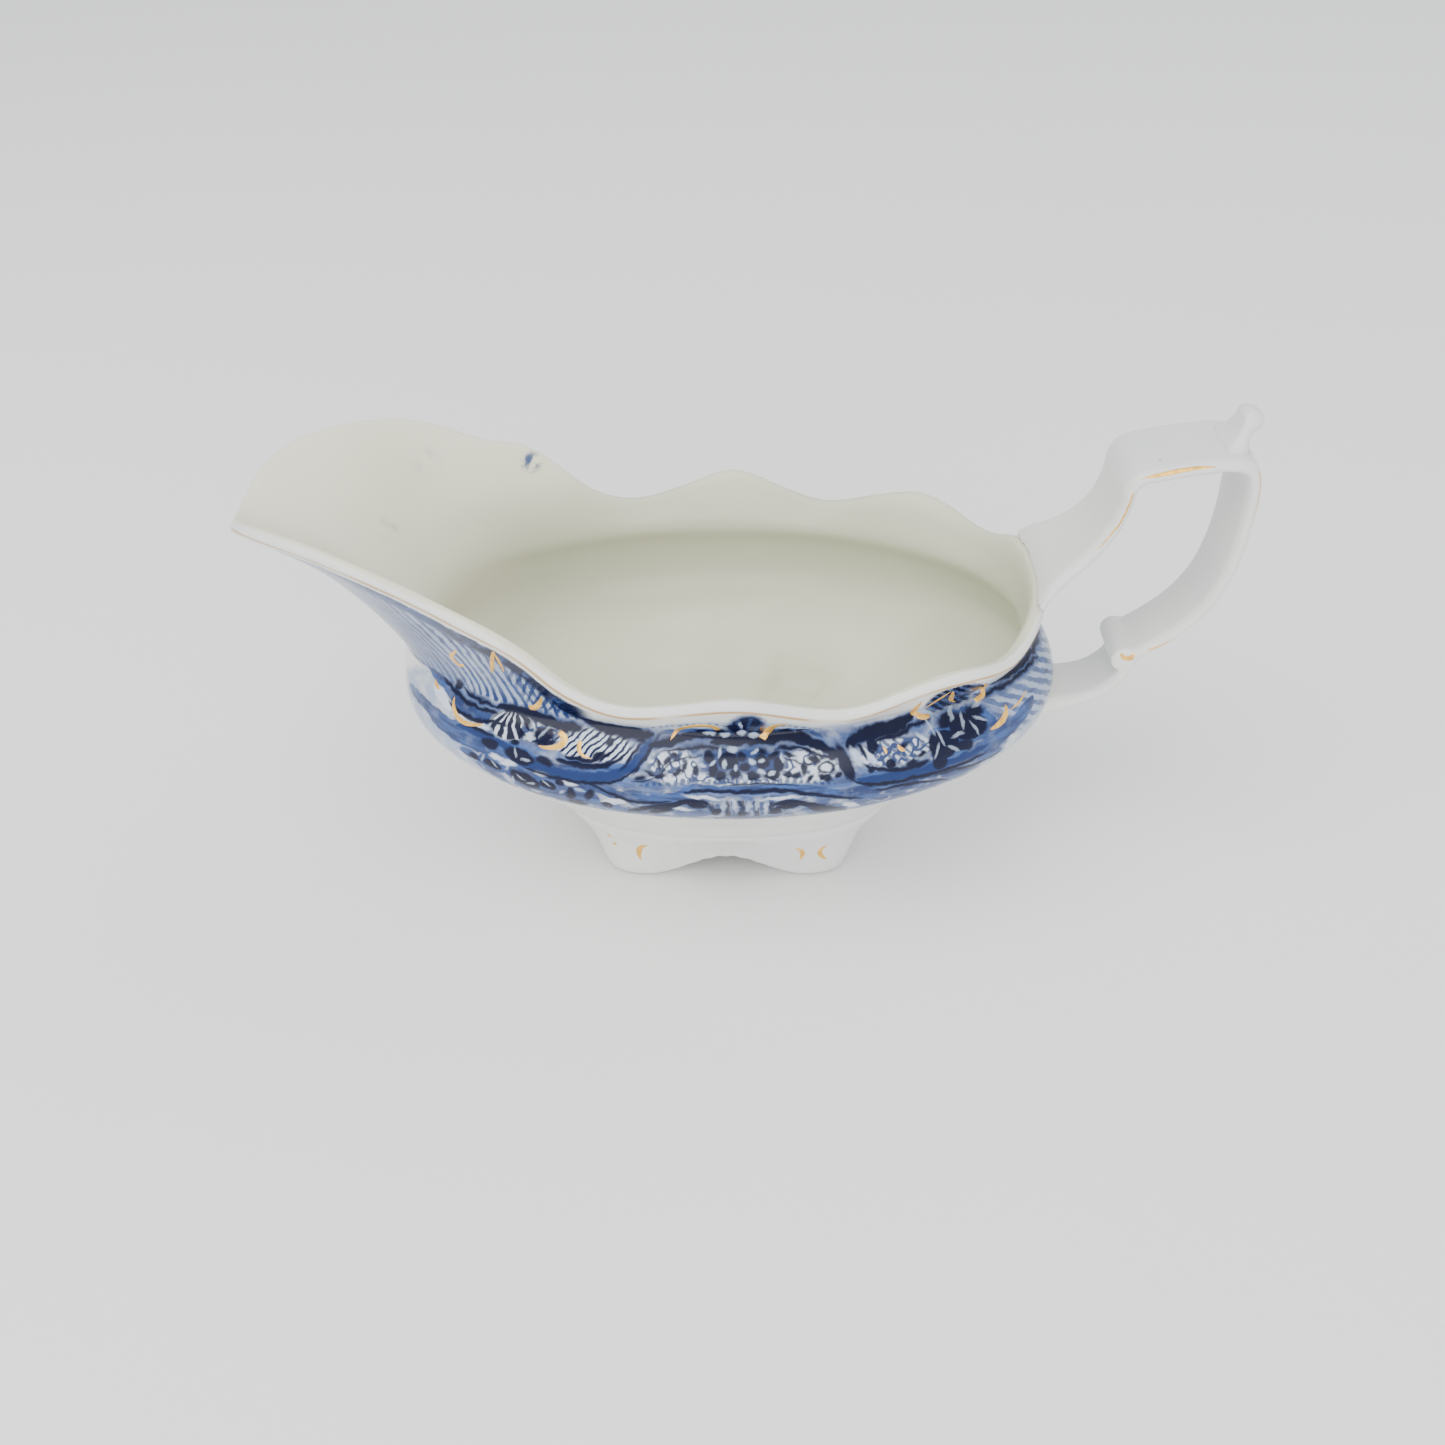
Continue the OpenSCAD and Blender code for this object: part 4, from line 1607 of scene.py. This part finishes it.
GOLD_ON_HANDLE = (
    GoldStroke(((75.1, 9.1, 91.2), (80.3, 9.5, 92.9), (85.8, 9.4, 94.1), (90.8, 9.8, 94.6)), 0.36),
    GoldStroke(((75.2, 9.8, 89.0), (73.9, 9.6, 83.0), (71.3, 9.8, 78.6), (68.6, 10.3, 75.5)), 0.16, 0.2),
    GoldStroke(((98.9, 9.1, 92.9), (99.9, 8.9, 87.7), (100.2, 7.6, 81.2), (99.7, 7.2, 75.7)), 0.13, 0.1),
    GoldStroke(((78.6, 6.8, 50.4), (79.6, 6.8, 49.0), (81.0, 6.8, 49.0), (81.8, 6.9, 50.4)), 0.5),
    GoldStroke(((84.4, 7.0, 51.2), (87.4, 7.2, 52.9), (90.0, 7.4, 54.8)), 0.16, 0.2),
)
GOLD_ON_FOOT = (
    GoldStroke(((-28.6, 19.2, 12.2), (-27.7, 19.3, 11.2)), 0.5),
    GoldStroke(((-27.7, 19.2, 9.4), (-26.9, 19.2, 8.4)), 0.42),
    GoldStroke(((-19.6, 22.1, 11.1), (-21.4, 21.4, 9.9), (-22.1, 20.9, 7.6), (-21.6, 20.4, 4.8)), 0.55),
    GoldStroke(((11.4, 22.0, 10.4), (12.9, 21.3, 8.9), (13.3, 20.8, 6.9), (12.6, 20.5, 4.9)), 0.46),
    GoldStroke(((18.9, 20.2, 9.6), (17.3, 20.4, 8.3), (17.3, 20.2, 6.4), (19.1, 19.6, 4.5)), 0.5),
)


@dataclass
class RaisedGilding:
    """Gold strokes that stand a little proud of the glaze, the same on both sides."""

    wall: Wall
    finish: bpy.types.Material
    thickness: float = 0.00015
    boldness: float = 1.35
    sink: float = 0.00005
    steps: int = 22
    sides: int = 8

    def build(self, name: str, strokes: Sequence[GoldStroke]) -> bpy.types.Object:
        """Makes one piece of all the strokes.

        Args:
            name: The piece's name.
            strokes: The strokes of one side.

        Returns:
            The piece.
        """
        bm = bmesh.new()
        for stroke in strokes:
            for side in (-1, 1):
                self._stroke(bm, stroke, side)
        bmesh.ops.recalc_face_normals(bm, faces=bm.faces)
        mesh = bpy.data.meshes.new(name)
        bm.to_mesh(mesh)
        bm.free()
        piece = mesh_object(name, mesh)
        dress(piece, self.finish)
        return piece

    def _sections(self, stroke: GoldStroke, side: int) -> list[Matrix]:
        """The place, turn and size of a stroke's section at each step.

        Args:
            stroke: The stroke.
            side: -1 for the front and 1 for the back.

        Returns:
            A matrix for each step.
        """
        knots = np.array(stroke.line, float)
        share = np.linspace(0.0, 1.0, len(knots))
        at = np.linspace(0.0, 1.0, self.steps)
        smooth = [through(share, knots[:, axis], at) for axis in range(knots.shape[1])]
        places = [self.wall.at(place, side) for place in zip(*smooth)]
        sections = []
        for index, (point, normal) in enumerate(places):
            before = places[max(index - 1, 0)][0]
            after = places[min(index + 1, self.steps - 1)][0]
            along = (after - before).normalized()
            across = normal.cross(along).normalized()
            reach = max(stroke.heavy_at, 1.0 - stroke.heavy_at)
            swell = 1.0 - abs(at[index] - stroke.heavy_at) / reach
            size = 0.2 + 0.8 * math.sin(0.5 * math.pi * max(swell, 0.0))
            half = stroke.half * self.boldness * MM * size
            section = Matrix.Identity(4)
            section.col[0][:3] = across * half
            section.col[1][:3] = normal * self.thickness * size
            section.col[2][:3] = along * half
            section.col[3][:3] = point - normal * self.sink
            sections.append(section)
        return sections

    def _stroke(self, bm: bmesh.types.BMesh, stroke: GoldStroke, side: int) -> None:
        """Draws one stroke out of a flattened circle.

        Args:
            bm: The shape that it is added to.
            stroke: The stroke.
            side: -1 for the front and 1 for the back.
        """
        sections = self._sections(stroke, side)
        ring = bmesh.ops.create_circle(
            bm, cap_ends=True, segments=self.sides, radius=1.0, matrix=sections[0]
        )["verts"]
        edges = list(dict.fromkeys(edge for vert in ring for edge in vert.link_edges))
        for before, after in zip(sections, sections[1:]):
            made = bmesh.ops.extrude_edge_only(bm, edges=edges)["geom"]
            ring = [item for item in made if isinstance(item, bmesh.types.BMVert)]
            edges = [item for item in made if isinstance(item, bmesh.types.BMEdge)]
            bmesh.ops.transform(bm, matrix=after @ before.inverted(), verts=ring)
        bmesh.ops.contextual_create(bm, geom=edges)


def through(keys: np.ndarray, values: np.ndarray, at: np.ndarray) -> np.ndarray:
    """A smooth curve through values, with even keys.

    Args:
        keys: Where the values are.
        values: The values.
        at: Where to read the curve.

    Returns:
        The curve's values.
    """
    slopes = np.gradient(values, keys)
    index = np.clip(np.searchsorted(keys, at) - 1, 0, len(keys) - 2)
    gap = keys[index + 1] - keys[index]
    t = (at - keys[index]) / gap
    return (
        values[index] * (2 * t**3 - 3 * t**2 + 1)
        + slopes[index] * gap * (t**3 - 2 * t**2 + t)
        + values[index + 1] * (3 * t**2 - 2 * t**3)
        + slopes[index + 1] * gap * (t**3 - t**2)
    )


# ---------------------------------------------------------------- studio


@dataclass(frozen=True)
class Softbox:
    """A square soft light, with its place and side in metres and its power in watts."""

    name: str
    place: tuple[float, float, float]
    side: float
    power: float
    tint: Colour


@dataclass
class Studio:
    """A pale floor, soft light and the camera."""

    floor_size: float = 6.0
    paper: tuple[Colour, Colour] = ((0.845, 0.845, 0.835), (0.86, 0.86, 0.85))
    distance: float = 0.362
    elevation: float = 36.0
    target: tuple[float, float, float] = (-0.004, 0.0, 0.0273)
    lens: float = 41.107
    sensor: float = 36.0
    sky: Colour = (0.93, 0.95, 0.97)
    sky_strength: float = 1.22
    softboxes: tuple[Softbox, ...] = (
        Softbox("key_softbox", (-0.35, -0.35, 0.95), 0.9, 9.2, (1.0, 0.985, 0.96)),
        Softbox("front_softbox", (0.1, -1.35, 0.45), 1.2, 15.5, (1.0, 0.99, 0.97)),
        Softbox("fill_softbox", (0.8, 0.5, 0.9), 0.9, 2.5, (0.95, 0.98, 1.0)),
    )

    def build(self) -> None:
        """Makes the floor, the lights and the camera."""
        self._floor()
        self._sky()
        for softbox in self.softboxes:
            self._lamp(softbox)
        self._camera()

    def _floor(self) -> None:
        """A plain pale floor."""
        bm = bmesh.new()
        bmesh.ops.create_grid(bm, x_segments=1, y_segments=1, size=self.floor_size / 2)
        mesh = bpy.data.meshes.new("pale_floor")
        bm.to_mesh(mesh)
        bm.free()
        floor = mesh_object("pale_floor", mesh)
        bench = Bench("matt_paper")
        grain = bench.noise(6.0, 2.0)
        colour = bench.mix(grain, *self.paper)
        floor.data.materials.append(
            bench.finish({"Base Color": colour, "Roughness": 0.9, "Specular IOR Level": 0.1})
        )

    def _sky(self) -> None:
        """An even, slightly cool light from all round."""
        world = bpy.data.worlds.new("soft_room")
        bpy.context.scene.world = world
        world.use_nodes = True
        back = world.node_tree.nodes["Background"]
        back.inputs["Color"].default_value = (*self.sky, 1.0)
        back.inputs["Strength"].default_value = self.sky_strength

    def _lamp(self, softbox: Softbox) -> None:
        """Hangs one soft light, pointed at the jug."""
        lamp = bpy.data.lights.new(softbox.name, "AREA")
        lamp.size = softbox.side
        lamp.energy = softbox.power
        lamp.color = softbox.tint
        made = bpy.data.objects.new(softbox.name, lamp)
        made.location = softbox.place
        aim = Vector(self.target) - Vector(softbox.place)
        made.rotation_euler = aim.to_track_quat("-Z", "Y").to_euler()
        bpy.context.scene.collection.objects.link(made)

    def _camera(self) -> None:
        """The camera, which looks down at the jug's side."""
        data = bpy.data.cameras.new("view")
        data.lens = self.lens
        data.sensor_width = self.sensor
        camera = bpy.data.objects.new("view", data)
        tilt = math.radians(self.elevation)
        camera.location = Vector(self.target) + self.distance * Vector(
            (0.0, -math.cos(tilt), math.sin(tilt))
        )
        camera.rotation_euler = (math.pi / 2 - tilt, 0.0, 0.0)
        bpy.context.scene.collection.objects.link(camera)
        bpy.context.scene.camera = camera


def main() -> None:
    """Builds the jug, piece by piece, and its studio."""
    logging.basicConfig(level=logging.INFO)
    chart = WallChart()
    cream = CREAM_INSIDE.make()
    white = WHITE_OUTSIDE.make()

    bowl = Bowl(chart, cream, painted_glaze(WHITE_OUTSIDE)).build()
    enlist(bowl, "decorated_glaze", "body")
    gold = Gilding().make()
    gilding = RaisedGilding(Wall(chart, bowl), gold).build("gold_on_bowl", GOLD_ON_WALL)
    enlist(gilding, "gilding")

    castings = (
        (Foot(), "foot", GOLD_ON_FOOT),
        (Handle(), "handle", GOLD_ON_HANDLE),
        (ThumbRest(), "thumb_rest", ()),
    )
    for casting, node, strokes in castings:
        piece = casting.build()
        dress(piece, white)
        enlist(piece, "plain_glaze", node)
        if strokes:
            gilding = RaisedGilding(Wall(chart, piece), gold).build(f"gold_on_{node}", strokes)
            enlist(gilding, "gilding")

    Studio().build()


if __name__ == "__main__":
    main()
